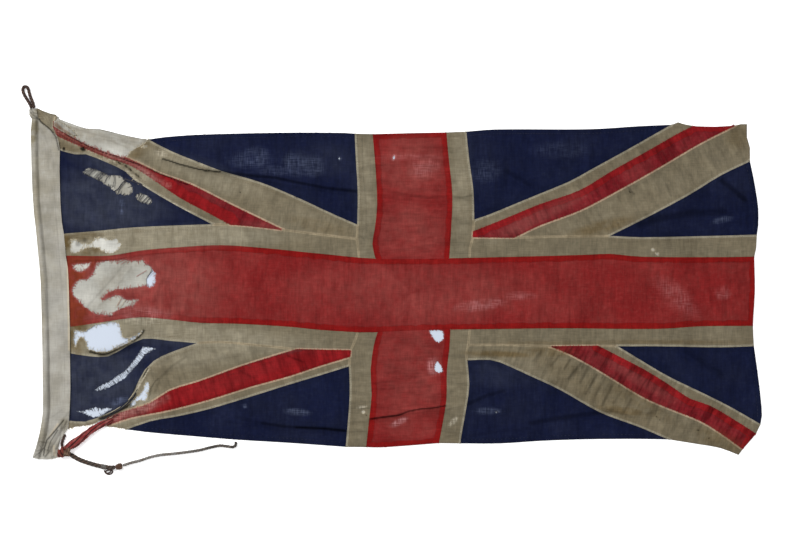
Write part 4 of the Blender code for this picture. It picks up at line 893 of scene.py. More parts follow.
def lined(mask, points, lines):
    """The mask with listed lines over it: line in pixels, half-width in metres, strength."""
    for line, width, strength in lines:
        away = distance_to_line(points, line_at(line)) / width
        mask = np.maximum(mask, strength * ease(LINE_REACH - away))
    return mask


def wear_and_shade_attribute(points, soiled=(), faded=(), shade_lines=(), pale=(), bare=()):
    """Soiled, faded and worn shares at each point; the fourth holds dark spots and painted crease shade."""
    dark = blots(points, SPOTS)
    # Painted shade along each crease line, with a softer painted shadow round it
    for line, width, strength in shade_lines:
        away = distance_to_line(points, line_at(line)) / width
        halo = CREASE_HALO * ease(1 - away / HALO_REACH)
        dark = np.maximum(dark, strength * np.maximum(ease(LINE_REACH - away), halo))
    light = lined(blots(points, faded), points, pale)
    worn = lined(blots(points, WORN), points, bare)
    return np.clip(np.column_stack([blots(points, soiled), light, worn, dark]), 0, 1)


def ragged(loop, amount, seed):
    """A torn loop with a thread-fine uneven edge."""
    draw = random.Random(seed)
    return moved_out(loop, [draw.uniform(-amount, amount) for _ in loop])


def cut_size(loop):
    """The cut's width and length, along its own longest direction, in metres."""
    spans = np.ptp(own_axes(loop), axis=0)
    return float(spans[0]), float(spans[1])


def declare(obj, node=None):
    """Says which body carries a piece, which solid it replaces, if any."""
    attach(obj, "root")
    if node:
        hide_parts(node)


def declare_sheet(obj, node, loops):
    """Declares a laid sheet; works out its flat size and area from its own outline and holes, but passes them
    to nothing.
    """
    area = abs(area_of(loops[0])) - sum(abs(area_of(hole)) for hole in loops[1:])
    width, length = (max(LEAST_SIDE, side) for side in cut_size(loops[0]))
    declare(obj, node)


def panel_rim(name, pitch):
    """A panel's cut edge: its points, what is sewn to each, which are torn, and the edge lapped or butted."""
    rank = RANK[colour_of(name)]
    rim = resampled(OUTLINES[name][0], pitch)
    beside = neighbours_of(name, rim)
    amounts = np.where((beside > 0) & (beside < rank), LAP, np.where(beside > 0, BUTT, 0.0))
    torn = np.full(len(rim), False)
    for edge in TORN_EDGES:
        torn |= distance_to_line(rim, line_at(edge)) < TORN_NEAR
    torn &= beside == 0
    draw = random.Random(name)
    amounts = amounts + np.where(torn, [draw.uniform(*TORN_BACK) for _ in rim], 0.0)
    return rim, beside, torn, moved_out(rim, amounts)


def panel_holes(name, pitch):
    """A panel's torn holes, each with an uneven edge."""
    holes = []
    for i, hole in enumerate(OUTLINES[name][1:]):
        unevenness = min(MOST_RAGGED, math.sqrt(abs(area_of(hole))) * RAGGED_SHARE)
        holes.append(ragged(resampled(hole, pitch), unevenness, f"{name}{i}"))
    return holes


def seam_distances(name, points, rim, beside, torn, holes):
    """How far each point is from the sewn edge, its doubled band, red, navy and white cloth, and a hole."""
    ends = np.roll(rim, -1, axis=0)

    def from_rim(chosen):
        return distance_to(points, rim[chosen], ends[chosen])

    to_edge = to_band = from_rim(~torn)
    to_red, to_navy, to_white = (from_rim(beside == RANK[colour]) for colour in ("red", "navy", "white"))
    to_hole = from_rim(torn)
    for hole in holes:
        to_hole = np.minimum(to_hole, distance_to_loop(points, hole))
    if not name.startswith(("wide_white", "narrow_white_lower_hoist")):
        to_red[:] = REACH
    if name.startswith(("border", "arm_border")):
        for strip in WOOL_NODES:
            if strip.startswith("red_strip"):
                to_red = np.minimum(to_red, PAST_BORDER * distance_to_loop(points, OUTLINES[strip][0]))
    if name.startswith("red_arm"):
        to_band = from_rim(~torn & (beside != RANK["red"]))
    if name.startswith("red_strip"):
        narrow = OUTLINES[name.replace("red_strip", "narrow_white")][0]
        share = STRIP_DOUBLED * LESS_DOUBLED.get(name, 1.0)
        to_band = np.minimum(distance_to_loop(points, narrow) * share, from_rim(beside == 0))
    return np.minimum(to_edge, REACH), to_band, to_red, to_navy, to_white, to_hole


def wool_top(name, points, settings, to_edge, to_hole):
    """The upper face of a panel: its folds, doubled bands, unevenness and thin torn rims."""
    band = ease((SEAM_BAND + BAND_SLOPE / 2 - to_edge) / BAND_SLOPE)
    top = wool_floor(points) + CLOTH + BAND_RISE[colour_of(name)] * band
    top += settings.ripple * (0.6 + ripple(points, 0.085, 1)) * ease(to_edge / 0.02) * 0.8
    top += settings.ripple * 0.35 * ripple(points, 0.022, 2)
    top += ribs(name, points, to_edge) * settings.ripple
    top -= ease(1 - to_hole / HOLE_RIM) * np.minimum(HOLE_THINNED, top - THIN_CLOTH)
    return np.maximum(top, THIN_CLOTH)


def wool_panel(name, settings, material):
    """One cut panel: lapped seams, doubled bands, folds, ribs and torn holes."""
    colour = colour_of(name)
    rim, beside, torn, outline = panel_rim(name, settings.pitch)
    holes = panel_holes(name, settings.pitch * FINE)
    points, faces = filled_sheet([outline, *holes], settings.pitch)
    to_edge, to_band, to_red, to_navy, to_white, to_hole = seam_distances(
        name, points, rim, beside, torn, holes)
    bare = WOOL_PALE if colour == "white" else STRIP_PALE if name.startswith("red_strip") else ()
    grain = grain_of(name, points)
    if colour == "white":
        grain[:, 3] = np.clip(to_white / REACH, 0, 1)
    obj = sheet_object(
        name, points, wool_top(name, points, settings, to_edge, to_hole), faces, THIN_CLOTH, material, {
            "seams": np.clip(np.column_stack([to_band, to_red, to_navy, to_hole]) / REACH, 0, 1),
            "wear": wear_and_shade_attribute(points, SOILED, FADED, CREASE_SHADE_LINES, bare=bare), "grain": grain})
    obj.name = f"{name}_cloth"
    declare_sheet(obj, name, [outline, *holes])
    return outline, holes, beside, torn


STRIPS = ("wide_white", "narrow_white", "red_strip")
# How crumpled each strip is, which sets the strength of its painted wrinkle shade
CRUMPLED = {"lower_fly": 1.0, "upper_fly": 0.6, "lower_hoist": 0.5, "upper_hoist": 0.35}


def grain_of(name, points):
    """Each point's place along and across its strip, how crumpled it is for the painted wrinkle shade, and a
    free fourth value.
    """
    if name.startswith(STRIPS):
        across, along = own_axes(points).T
        amount = max(share for key, share in CRUMPLED.items() if name.endswith(key))
    elif name.startswith(("arm_border", "red_arm")):
        along, across, amount = points[:, 1], points[:, 0], 0.4
    else:
        along, across, amount = points[:, 0], points[:, 1], 0.3
    return np.column_stack([along + 1, across + 1, np.full(len(points), amount), np.ones(len(points))])


def ribs(name, points, to_edge):
    """Small puckers across a strip that is cut on the bias, and beside every seam."""
    puckers = 0.45 * ripple(points, 0.011, 7) * ease(1 - to_edge / 0.016)
    if not name.startswith(STRIPS):
        return puckers
    across, along = own_axes(points).T
    wave = np.sin((along + 0.25 * across) * math.tau / 0.013 + 2.5 * ripple(points, 0.05, 11))
    upright = ripple(points * (1.0, 0.22), 0.012, 14)
    return puckers + 0.4 * wave * np.clip(ripple(points, 0.06, 12) + 0.3, 0, 1) + 0.5 * upright


def side_and_up(path):
    """Two ways across a path at each of its points, one level and one upright."""
    run = np.gradient(path, axis=0)
    run /= np.maximum(np.linalg.norm(run, axis=1), SMALL)[:, None]
    side = np.cross(run, (0.0, 0.0, 1.0))
    side /= np.maximum(np.linalg.norm(side, axis=1), SMALL)[:, None]
    return side, np.cross(side, run)


def tube_faces(start, rings, sides):
    """The faces of a closed tube whose rings of corners begin at start."""
    faces = []
    for i in range(rings - 1):
        for k in range(sides):
            a = start + i * sides + k
            b = start + i * sides + (k + 1) % sides
            faces.append((a, a + sides, b + sides, b))
    faces.append(tuple(start + k for k in range(sides)))
    faces.append(tuple(start + (rings - 1) * sides + k for k in reversed(range(sides))))
    return faces


def tube_mesh(name, paths, radii, sides=3):
    """Many thin tubes in one mesh; each path is a list of places, with a radius for each path."""
    corners = []
    faces = []
    for path, radius in zip(paths, radii):
        path = np.asarray(path, float)
        side, up = side_and_up(path)
        faces += tube_faces(len(corners), len(path), sides)
        for here, across, above in zip(path, side, up):
            for k in range(sides):
                angle = math.tau * k / sides + math.pi / 2
                corners.append(here + (across * math.cos(angle) + above * math.sin(angle)) * radius)
    mesh = bpy.data.meshes.new(name)
    mesh.from_pydata([tuple(corner) for corner in corners], [], faces)
    mesh.shade_smooth()
    return mesh


def surface_height(points):
    """Height of the wool's upper face, or of where it was before it tore away."""
    return wool_floor(points) + CLOTH


def fringe_paths(loop, inward, draw, share, longest):
    """Broken thread ends along a torn edge, into the hole, each a bent path."""
    paths = []
    fine = resampled(loop, 0.0013)
    run = np.roll(fine, -1, axis=0) - np.roll(fine, 1, axis=0)
    out = np.stack([run[:, 1], -run[:, 0]], axis=1) * inward
    for here, way in zip(fine, out):
        if draw.random() > share:
            continue
        way = way / max(np.linalg.norm(way), SMALL)
        axis = np.array([math.copysign(1, way[0]), 0.0])
        if abs(way[1]) > abs(way[0]):
            axis = np.array([0.0, math.copysign(1, way[1])])
        lean = draw.gauss(0, 0.30)
        axis = np.array([axis[0] - lean * axis[1], axis[1] + lean * axis[0]])
        length = min(longest, 0.0008 + draw.expovariate(1 / 0.0024))
        bend = np.array([-axis[1], axis[0]]) * draw.gauss(0, 0.25) * length
        paths.append([here - axis * 0.0012 + axis * length * t + bend * t * t for t in THREAD_STEPS])
    return paths


def laid_on(path, start_height, end_height):
    """Gives a flat path its heights, from its start to its end."""
    share = np.linspace(0, 1, len(path))
    heights = start_height + (end_height - start_height) * ease(share)
    return np.column_stack([path, heights])


def smooth_line(points, step):
    """A smooth line through given points, with points no more than step apart."""
    points = [Vector(point) for point in points]
    line = []
    for i in range(len(points) - 1):
        here = points[i]
        there = points[i + 1]
        before = points[i - 1] if i else here
        after = points[i + 2] if i + 2 < len(points) else there
        length = (there - here).length
        leave = (there - before) * (length / max((here - before).length + length, SMALL))
        arrive = (after - here) * (length / max((after - there).length + length, SMALL))
        pieces = max(1, math.ceil(length / step))
        for k in range(pieces):
            t = k / pieces
            line.append(
                here * (2 * t**3 - 3 * t**2 + 1) + leave * (t**3 - 2 * t**2 + t)
                + there * (3 * t**2 - 2 * t**3) + arrive * (t**3 - t**2))
    line.append(points[-1])
    return np.array([point[:] for point in line])


def route_in_metres(route, radius=0.0, lifts=None, radii=None):
    """A rope's route: place, height of its middle, and radius, for each point."""
    lifts = lifts or {}
    line = []
    for i, pixel in enumerate(route):
        point = at(pixel)
        thick = radii[i] if radii else radius
        line.append((point.x, point.y, thick + lifts.get(i, 0.0), thick))
    return line


def laid_rope(name, line, strands, material, pitch, depth, sides, seed=0, lumpy=0.0):
    """A rope of laid strands along a line of (x, y, z, radius), closed at both ends.

    pitch is the length of one turn of the lay. depth is how deep the grooves go, as a share of the radius.
    lumpy is the strength of an uneven swelling.
    """
    draw = random.Random(seed)
    path = np.array(line)
    side, up = side_and_up(path[:, :3])
    along = np.concatenate([[0], np.cumsum(np.linalg.norm(np.diff(path[:, :3], axis=0), axis=1))])
    wobble = [draw.uniform(0.97, 1.03) for _ in path]
    corners = []
    lay = []
    around = np.arange(sides) * math.tau / sides
    for i, here in enumerate(path):
        skin = np.column_stack([np.full(sides, along[i]), np.sin(around) * 0.012])
        lumps = 1 + lumpy * ripple(skin, 0.011, seed)
        turn = along[i] / pitch * math.tau
        near_end = min(along[i], along[-1] - along[i])
        close = 0.35 + 0.65 * math.sqrt(min(1.0, near_end / (here[3] * 0.5)))
        for k in range(sides):
            angle = math.tau * k / sides
            lobe = abs(math.cos(strands / 2 * (angle - turn)))
            radius = here[3] * (1 - depth * (1 - lobe) ** 1.5) * wobble[i] * close * lumps[k]
            corners.append(here[:3] + (side[i] * math.cos(angle) + up[i] * math.sin(angle)) * radius)
            # lobe drops between the strands, where the rope finish paints shade
            lay.append((lobe, min(1.0, along[i] / LAY_RUN), 0.0, 1.0))
    corners = np.array(corners)
    corners[:, 2] = np.maximum(corners[:, 2], LOWEST)
    mesh = bpy.data.meshes.new(name)
    mesh.from_pydata(corners.tolist(), [], tube_faces(0, len(path), sides))
    colour_layer(mesh, "lay", lay)
    obj = new_object(name, mesh, material)
    select_only(obj)
    bpy.ops.object.shade_smooth_by_angle(angle=math.radians(60))
    return obj


class Nodes:
    """Adds shader nodes to a tree and joins them."""

    def __init__(self, tree):
        self.tree = tree

    def add(self, kind, **settings):
        made = self.tree.nodes.new(kind)
        for key, value in settings.items():
            setattr(made, key, value)
        return made

    def put(self, socket, value):
        if isinstance(value, bpy.types.NodeSocket):
            self.tree.links.new(value, socket)
        elif isinstance(value, tuple) and len(value) == 3 and socket.type == "RGBA":
            socket.default_value = (*value, 1.0)
        else:
            socket.default_value = value

    def maths(self, operation, first, second=0.0, clamp=False):
        made = self.add("ShaderNodeMath", operation=operation, use_clamp=clamp)
        self.put(made.inputs[0], first)
        self.put(made.inputs[1], second)
        return made.outputs[0]

    def times(self, first, second, clamp=False):
        return self.maths("MULTIPLY", first, second, clamp)

    def product(self, first, *others):
        for other in others:
            first = self.times(first, other)
        return first

    def mix(self, share, first, second, blend="MIX"):
        made = self.add("ShaderNodeMix", data_type="RGBA", blend_type=blend)
        self.put(made.inputs[0], share)
        self.put(made.inputs[6], first)
        self.put(made.inputs[7], second)
        return made.outputs[2]

    def ramp(self, value, low, high, bottom=0.0, top=1.0):
        made = self.add("ShaderNodeMapRange", interpolation_type="SMOOTHSTEP")
        self.put(made.inputs["Value"], value)
        for key, limit in (("From Min", low), ("From Max", high), ("To Min", bottom), ("To Max", top)):
            made.inputs[key].default_value = limit
        return made.outputs["Result"]

    def noise(self, vector, scale, detail=3.0, stretch=None):
        if stretch:
            mapping = self.add("ShaderNodeMapping")
            self.put(mapping.inputs["Vector"], vector)
            mapping.inputs["Scale"].default_value = stretch
            vector = mapping.outputs["Vector"]
        made = self.add("ShaderNodeTexNoise")
        self.put(made.inputs["Vector"], vector)
        made.inputs["Scale"].default_value = scale
        made.inputs["Detail"].default_value = detail
        return made.outputs["Fac"]

    def group(self, tree, **values):
        made = self.add("ShaderNodeGroup", node_tree=tree)
        for key, value in values.items():
            self.put(made.inputs[key.replace("_", " ")], value)
        return made


def new_group(name, inputs, outputs):
    """An empty shader group with named sockets: its tree, its nodes, and its sockets by name, in and out."""
    tree = bpy.data.node_groups.new(name, "ShaderNodeTree")
    for label, kind, value in inputs:
        socket = tree.interface.new_socket(label, in_out="INPUT", socket_type=kind)
        if value is not None:
            socket.default_value = value
    for label, kind in outputs:
        tree.interface.new_socket(label, in_out="OUTPUT", socket_type=kind)
    nodes = Nodes(tree)
    return tree, nodes, nodes.add("NodeGroupInput").outputs, nodes.add("NodeGroupOutput").inputs


def weave_group():
    """A plain weave: the height of its threads, and the uneven shade of their runs."""
    tree, nodes, given, made = new_group(
        "Plain weave",
        [("Vector", "NodeSocketVector", None), ("Pitch", "NodeSocketFloat", 0.0011)],
        [("Height", "NodeSocketFloat"), ("Shade", "NodeSocketFloat")])
    parts = nodes.add("ShaderNodeSeparateXYZ")
    nodes.put(parts.inputs[0], given["Vector"])
    turn = nodes.maths("DIVIDE", math.pi, given["Pitch"])
    waves = [nodes.maths("SINE", nodes.times(parts.outputs[axis], turn)) for axis in (0, 1)]
    bumps = [nodes.maths("ABSOLUTE", wave) for wave in waves]
    over = nodes.maths("GREATER_THAN", nodes.times(waves[0], waves[1]), 0.0)
    pick = nodes.add("ShaderNodeMix", data_type="FLOAT")
    nodes.put(pick.inputs[0], over)
    nodes.put(pick.inputs[2], bumps[0])
    nodes.put(pick.inputs[3], bumps[1])
    nodes.put(made["Height"], pick.outputs[0])
    warp = nodes.noise(given["Vector"], 1.0, 2.0, (45, 520, 1))
    weft = nodes.noise(given["Vector"], 1.0, 2.0, (520, 45, 1))
    nodes.put(made["Shade"], nodes.times(nodes.maths("ADD", warp, weft), 0.5))
    return tree


def wrinkle_shade_group():
    """Painted shade of creases across a strip: fine puckers and broad soft wrinkles, darker where the cloth
    dips.
    """
    tree, nodes, given, made = new_group(
        "Crumpled strip",
        [("Vector", "NodeSocketVector", None), ("Fine", "NodeSocketFloat", 0.2),
         ("Broad", "NodeSocketFloat", 0.3), ("Amount", "NodeSocketFloat", 1.0)],
        [("Shade", "NodeSocketFloat")])
    fine = nodes.ramp(nodes.noise(given["Vector"], 1.0, 3.0, (190, 24, 1)), 0.32, 0.60, 1.0, 0.0)
    broad = nodes.ramp(nodes.noise(given["Vector"], 1.0, 2.0, (62, 17, 1)), 0.30, 0.62, 1.0, -0.35)
    both = nodes.maths(
        "ADD", nodes.times(fine, given["Fine"]),
        nodes.times(nodes.times(broad, given["Broad"]), given["Amount"]))
    nodes.put(made["Shade"], nodes.maths("SUBTRACT", 1.0, both))
    return tree


def mottle_group():
    """Uneven fading of a dyed cloth: large clouds and small dusty flecks."""
    tree, nodes, given, made = new_group(
        "Mottled dye",
        [("Vector", "NodeSocketVector", None), ("Colour", "NodeSocketColor", (1, 1, 1, 1)),
         ("Faded", "NodeSocketColor", (1, 1, 1, 1)), ("Amount", "NodeSocketFloat", 0.5)],
        [("Colour", "NodeSocketColor")])
    clouds = nodes.ramp(nodes.noise(given["Vector"], 11.0, 4.0), 0.38, 0.72)
    flecks = nodes.ramp(nodes.noise(given["Vector"], 160.0, 3.0), 0.45, 0.75)
    both = nodes.maths("ADD", nodes.times(clouds, 0.7), nodes.times(flecks, 0.45), True)
    share = nodes.times(both, given["Amount"], True)
    nodes.put(made["Colour"], nodes.mix(share, given["Colour"], given["Faded"]))
    return tree


def stain_group():
    """Lays a stain over a colour, where a mask says so, with a blotchy rim."""
    tree, nodes, given, made = new_group(
        "Blotchy stain",
        [("Vector", "NodeSocketVector", None), ("Colour", "NodeSocketColor", (1, 1, 1, 1)),
         ("Stain", "NodeSocketColor", (1, 1, 1, 1)), ("Mask", "NodeSocketFloat", 0.0)],
        [("Colour", "NodeSocketColor")])
    patchy = nodes.noise(given["Vector"], 70.0, 5.0)
    share = nodes.times(given["Mask"], nodes.ramp(patchy, 0.25, 0.60, 0.35, 1.15), True)
    nodes.put(made["Colour"], nodes.mix(share, given["Colour"], given["Stain"]))
    return tree


def new_material(name, roughness, specular=0.25):
    """A new material, its nodes, its shader and the place on the object."""
    material = bpy.data.materials.new(name)
    material.use_nodes = True
    nodes = Nodes(material.node_tree)
    shader = material.node_tree.nodes["Principled BSDF"]
    shader.inputs["Roughness"].default_value = roughness
    shader.inputs["Specular IOR Level"].default_value = specular
    return material, nodes, shader, nodes.add("ShaderNodeTexCoord").outputs["Object"]


def add_bump(nodes, shader, height, distance, strength=0.6):
    """Roughens a finish with a height pattern."""
    bump = nodes.add("ShaderNodeBump")
    bump.inputs["Strength"].default_value = strength
    bump.inputs["Distance"].default_value = distance
    nodes.put(bump.inputs["Height"], height)
    nodes.put(shader.inputs["Normal"], bump.outputs["Normal"])


def attribute(nodes, name):
    """The four parts of a colour attribute."""
    read = nodes.add("ShaderNodeAttribute", attribute_name=name)
    parts = nodes.add("ShaderNodeSeparateColor")
    nodes.put(parts.inputs[0], read.outputs["Color"])
    return parts.outputs[0], parts.outputs[1], parts.outputs[2], read.outputs["Alpha"]


def near(nodes, distance, metres, soft=0.0012):
    """A mask that is 1 within some metres of a seam."""
    return nodes.ramp(distance, metres / REACH, (metres + soft) / REACH, 1.0, 0.0)


def wool_material(name, colours, thread, mottle, soil, doubling, wrinkle_shade, fraying):
    """Wool bunting: its colours inside the seams, doubled, faded, worn through and stained, and its painted
    shade.
    """
    inside_colour, band, faded, worn, stained = colours
    material, nodes, shader, where = new_material(name, CLOTH_ROUGHNESS, CLOTH_SPECULAR)
    to_edge, to_red, to_navy, to_hole = attribute(nodes, "seams")
    soiled, bleached, thin, spots_and_crease_shade = attribute(nodes, "wear")
    grain = nodes.add("ShaderNodeAttribute", attribute_name="grain")
    weave = nodes.group(SHARED["weave"], Vector=where, Pitch=thread)
    base = nodes.group(SHARED["mottle"], Vector=where, Colour=inside_colour, Faded=faded, Amount=mottle)
    colour = base.outputs["Colour"]
    uneven = nodes.times(nodes.maths("SUBTRACT", nodes.noise(where, 60.0, 2.0), 0.5), 0.0070 / REACH)
    to_edge = nodes.maths("ADD", to_edge, uneven)
    doubled = near(nodes, to_edge, SEAM_BAND)
    patchy = nodes.ramp(nodes.noise(where, 45.0, 4.0), 0.3, 0.62, 0.55, 1.0)
    colour = nodes.mix(nodes.times(bleached, patchy, True), colour, faded)
    kept = nodes.maths("SUBTRACT", 1.0, bleached, True)
    colour = nodes.mix(nodes.times(nodes.times(doubled, doubling), kept), colour, band)
    if name == "white_wool":
        for distance, reach, share, line_colour in (
                (to_red, 0.0032, 0.80, srgb(174, 150, 126)), (to_navy, 0.0025, 0.62, srgb(158, 152, 134)),
                (grain.outputs["Alpha"], 0.0017, 0.68, srgb(156, 142, 116))):
            colour = nodes.mix(nodes.times(near(nodes, distance, reach), share), colour, line_colour)
    # Painted shade in the groove where the doubled band steps down to single cloth
    groove = nodes.maths(
        "SUBTRACT", near(nodes, to_edge, SEAM_BAND + 0.0012), near(nodes, to_edge, SEAM_BAND - 0.0006))
    colour = nodes.mix(nodes.times(groove, doubling * 0.16), colour, (0.01, 0.01, 0.01))
    threads = nodes.ramp(weave.outputs["Shade"], 0.40, 0.60, 0.25, 1.25)
    torn_up = nodes.ramp(nodes.noise(where, 34.0, 2.0), 0.30, 0.62, 0.35, 1.15)
    threads = nodes.times(threads, torn_up)
    colour = nodes.mix(nodes.times(thin, threads, True), colour, worn)
    masked = nodes.times(soiled, soil)
    stain = nodes.group(SHARED["stain"], Vector=where, Colour=colour, Stain=stained, Mask=masked)
    rim = nodes.times(near(nodes, to_hole, 0.0004, 0.0022), nodes.times(torn_up, fraying), True)
    colour = nodes.mix(rim, stain.outputs["Colour"], worn)
    amount = nodes.add("ShaderNodeSeparateColor")
    nodes.put(amount.inputs[0], grain.outputs["Color"])
    # Painted shade of the wrinkles across a strip, as strong as the strip is crumpled
    crumple = nodes.group(
        SHARED["crumple"], Vector=grain.outputs["Vector"], Fine=wrinkle_shade, Broad=wrinkle_shade * 2.0,
        Amount=amount.outputs[2])
    # Thread and random tone, times painted crease shade, painted shadow beside seams and edges, and painted
    # wrinkle shade
    shade = nodes.product(
        nodes.ramp(weave.outputs["Shade"], 0.30, 0.70, 0.86, 1.14),
        nodes.ramp(spots_and_crease_shade, 0.0, 1.0, 1.0, 0.08),
        nodes.ramp(to_edge, 0.0, 0.0017 / REACH, 0.80, 1.0),
        nodes.ramp(nodes.noise(where, 14.0, 3.0), 0.3, 0.7, 0.90, 1.08),
        nodes.ramp(nodes.noise(where, 75.0, 4.0), 0.3, 0.7, 0.91, 1.06),
        crumple.outputs["Shade"])
    nodes.put(shader.inputs["Base Color"], tinted(nodes, colour, shade))
    add_bump(nodes, shader, weave.outputs["Height"], 0.00025)
    return material


def tinted(nodes, colour, shade):
    """The colour made lighter or darker by a shade."""
    tint = nodes.add("ShaderNodeCombineColor")
    for i in range(3):
        nodes.put(tint.inputs[i], shade)
    return nodes.mix(1.0, colour, tint.outputs[0], "MULTIPLY")


def canvas_material(name, colour, thread, dirt, dirt_amount, bleached):
    """Plain canvas with soft soiling and painted crease shade."""
    material, nodes, shader, where = new_material(name, CLOTH_ROUGHNESS, CLOTH_SPECULAR)
    soiled, pale, _, spots_and_crease_shade = attribute(nodes, "wear")
    weave = nodes.group(SHARED["weave"], Vector=where, Pitch=thread)
    clouds = nodes.ramp(nodes.noise(where, 22.0, 6.0), 0.35, 0.70)
    shade_colour = nodes.mix(nodes.times(clouds, dirt_amount), colour, dirt)
    stain = nodes.group(SHARED["stain"], Vector=where, Colour=shade_colour, Stain=dirt, Mask=soiled)
    lightened = nodes.mix(pale, stain.outputs["Colour"], bleached)
    # Thread and random tone, times the painted shade of the creases
    shade = nodes.product(
        nodes.ramp(weave.outputs["Shade"], 0.30, 0.70, 0.90, 1.10),
        nodes.ramp(nodes.noise(where, 30.0, 5.0), 0.3, 0.7, 0.86, 1.10),
        nodes.ramp(spots_and_crease_shade, 0.0, 1.0, 1.0, 0.20))
    nodes.put(shader.inputs["Base Color"], tinted(nodes, lightened, shade))
    add_bump(nodes, shader, weave.outputs["Height"], 0.0002)
    return material


def rope_material(name, colour, groove, patch, far_colour=None):
    """Laid rope: painted shade between its strands, uneven along its run."""
    material, nodes, shader, where = new_material(name, 0.85)
    lobe, along, _, _ = attribute(nodes, "lay")
    if far_colour:
        colour = nodes.mix(nodes.ramp(along, 0.36, 0.56), colour, far_colour)
    mottled = nodes.mix(nodes.ramp(nodes.noise(where, 130.0, 4.0), 0.40, 0.65), colour, patch)
    # Painted shade between the strands, where the lay's lobe is low
    shaded = nodes.mix(nodes.ramp(lobe, 0.15, 0.75), groove, mottled)
    nodes.put(shader.inputs["Base Color"], shaded)
    fibres = nodes.noise(where, 1400.0, 2.0)
    add_bump(nodes, shader, fibres, 0.0002)
    return material


def thread_material(name, colour):
    """Sewing thread or frayed yarn, a little paler in places."""
    material, nodes, shader, where = new_material(name, 0.9)
    pale = tuple(min(1.0, part * 1.5 + 0.01) for part in colour)
    nodes.put(shader.inputs["Base Color"], nodes.mix(nodes.noise(where, 300.0, 2.0), colour, pale))
    return material


# Filled by the operators: shader groups, materials, and where the stitches and the torn threads go
SHARED = {}
MATERIALS = {}
STITCHES = {"navy": [], "white": [], "red": []}
FRINGES = {"navy": [], "white": [], "red": []}


class FLAG_OT_finishes(bpy.types.Operator):
    """Make the finishes that the flag's pieces share"""

    bl_idname = "flag.finishes"
    bl_label = "Finishes"

    def execute(self, context):
        wool = context.scene.flag_wool
        canvas = context.scene.flag_canvas
        ropes = context.scene.flag_ropes
        SHARED["weave"] = weave_group()
        SHARED["crumple"] = wrinkle_shade_group()
        SHARED["mottle"] = mottle_group()
        SHARED["stain"] = stain_group()
        # Colour, doubled, worn and stained shades, then mottle, soil, doubling, painted wrinkle shade and
        # fraying
        for colour, band, worn, stained, *amounts in (
                ("navy", srgb(17, 22, 42), (84, 92, 116), (40, 38, 38), 0.20, 0.4, 0.3, 0.16, 0.10),
                ("red", tuple(wool.red_band), (168, 112, 112), (116, 50, 34), 0.34, 1.0, 0.9, 0.14, 0.32),
                ("white", tuple(wool.white_band), (196, 188, 168), (98, 82, 54), 0.24, 1.0, 0.25, 0.12,
                 0.15)):
            plain, faded = (tuple(getattr(wool, key)) for key in (colour, f"{colour}_faded"))
            shades = (plain, band, faded, srgb(*worn), srgb(*stained))
            MATERIALS[colour] = wool_material(f"{colour}_wool", shades, wool.thread, *amounts)
        strip = shades_of((112, 27, 33), (131, 25, 28), (132, 70, 67), (160, 112, 106), (108, 52, 40))
        MATERIALS["strip"] = wool_material("red_strip_wool", strip, wool.thread, 0.35, 1.0, 0.9, 0.22, 0.3)
        rag = shades_of((152, 149, 140), (120, 92, 60), (158, 152, 138), (168, 160, 146), (104, 72, 44))
        MATERIALS["stained"] = wool_material("stained_wool", rag, wool.thread, 0.7, 0.75, 0.0, 0.2, 0.3)
        for name, dirt, dirt_amount, bleached in (
                ("heading", (126, 119, 100), 0.35, (192, 178, 152)),
                ("tab", (104, 92, 70), 0.4, (192, 178, 152)),
                ("patch", (122, 114, 99), 0.26, (194, 193, 186))):
            MATERIALS[name] = canvas_material(
                f"{name}_canvas", tuple(getattr(canvas, name)), canvas.thread, srgb(*dirt), dirt_amount,
                srgb(*bleached))
        # Each rope's colour, the painted shade between its strands, and its paler patches
        for name, colour, groove, patch in (
                ("dark_rope", tuple(ropes.dark), (24, 16, 14), (84, 66, 56)),
                ("tail_rope", tuple(ropes.tail_colour), (26, 20, 16), (78, 58, 44)),
                ("thin_cord", tuple(ropes.cord_colour), (48, 44, 40), (106, 98, 90)),
                ("tarred_rope", srgb(92, 66, 52), (34, 25, 20), (118, 96, 78)),
                ("knot_cloth", srgb(104, 44, 36), (30, 12, 10), (112, 64, 50)),
                ("torn_red_cloth", srgb(118, 37, 38), (42, 14, 14), (140, 76, 72))):
            far_colour = tuple(ropes.cord_end) if name == "thin_cord" else None
            MATERIALS[name] = rope_material(name, colour, srgb(*groove), srgb(*patch), far_colour)
        for colour, sewing, frayed in (
                ("navy", (24, 26, 44), (48, 48, 58)), ("white", (88, 78, 58), (176, 166, 142)),
                ("red", (70, 12, 13), (146, 74, 68))):
            MATERIALS[f"{colour}_thread"] = thread_material(f"{colour}_thread", srgb(*sewing))
            MATERIALS[f"{colour}_fray"] = thread_material(f"{colour}_fray", srgb(*frayed))
        # A near-black finish for the dark tubes that stand in for shadow under a rolled edge
        MATERIALS["dark_fray"] = thread_material("dark_fray", srgb(26, 28, 36))
        MATERIALS["zigzag_thread"] = thread_material("zigzag_thread", srgb(134, 22, 24))
        return {"FINISHED"}


def sew_panels(names, settings):
    """Makes wool panels, and notes where their stitches and torn threads go."""
    for name in names:
        colour = colour_of(name)
        material = MATERIALS["strip" if name.startswith("red_strip") else colour]
        outline, holes, beside, torn = wool_panel(name, settings, material)
        STITCHES[colour].append((name, outline, beside, torn))
        draw = random.Random(f"fringe {name}")
        share, longest = (0.15, 0.003) if name == "red_arm_lower" else (0.6, 0.008)
        for hole in holes:
            FRINGES[colour] += fringe_paths(hole, -1, draw, share, longest)
        if torn.any():
            edge_paths = fringe_paths(outline, 1, draw, 0.75, 0.007)
            FRINGES[colour] += [path for path in edge_paths if near_torn(path[0])]


def near_torn(point):
    """Whether a place is beside one of the torn edges."""
    return any(distance_to_line(np.array([point]), line_at(edge))[0] < FRINGE_NEAR for edge in TORN_EDGES)


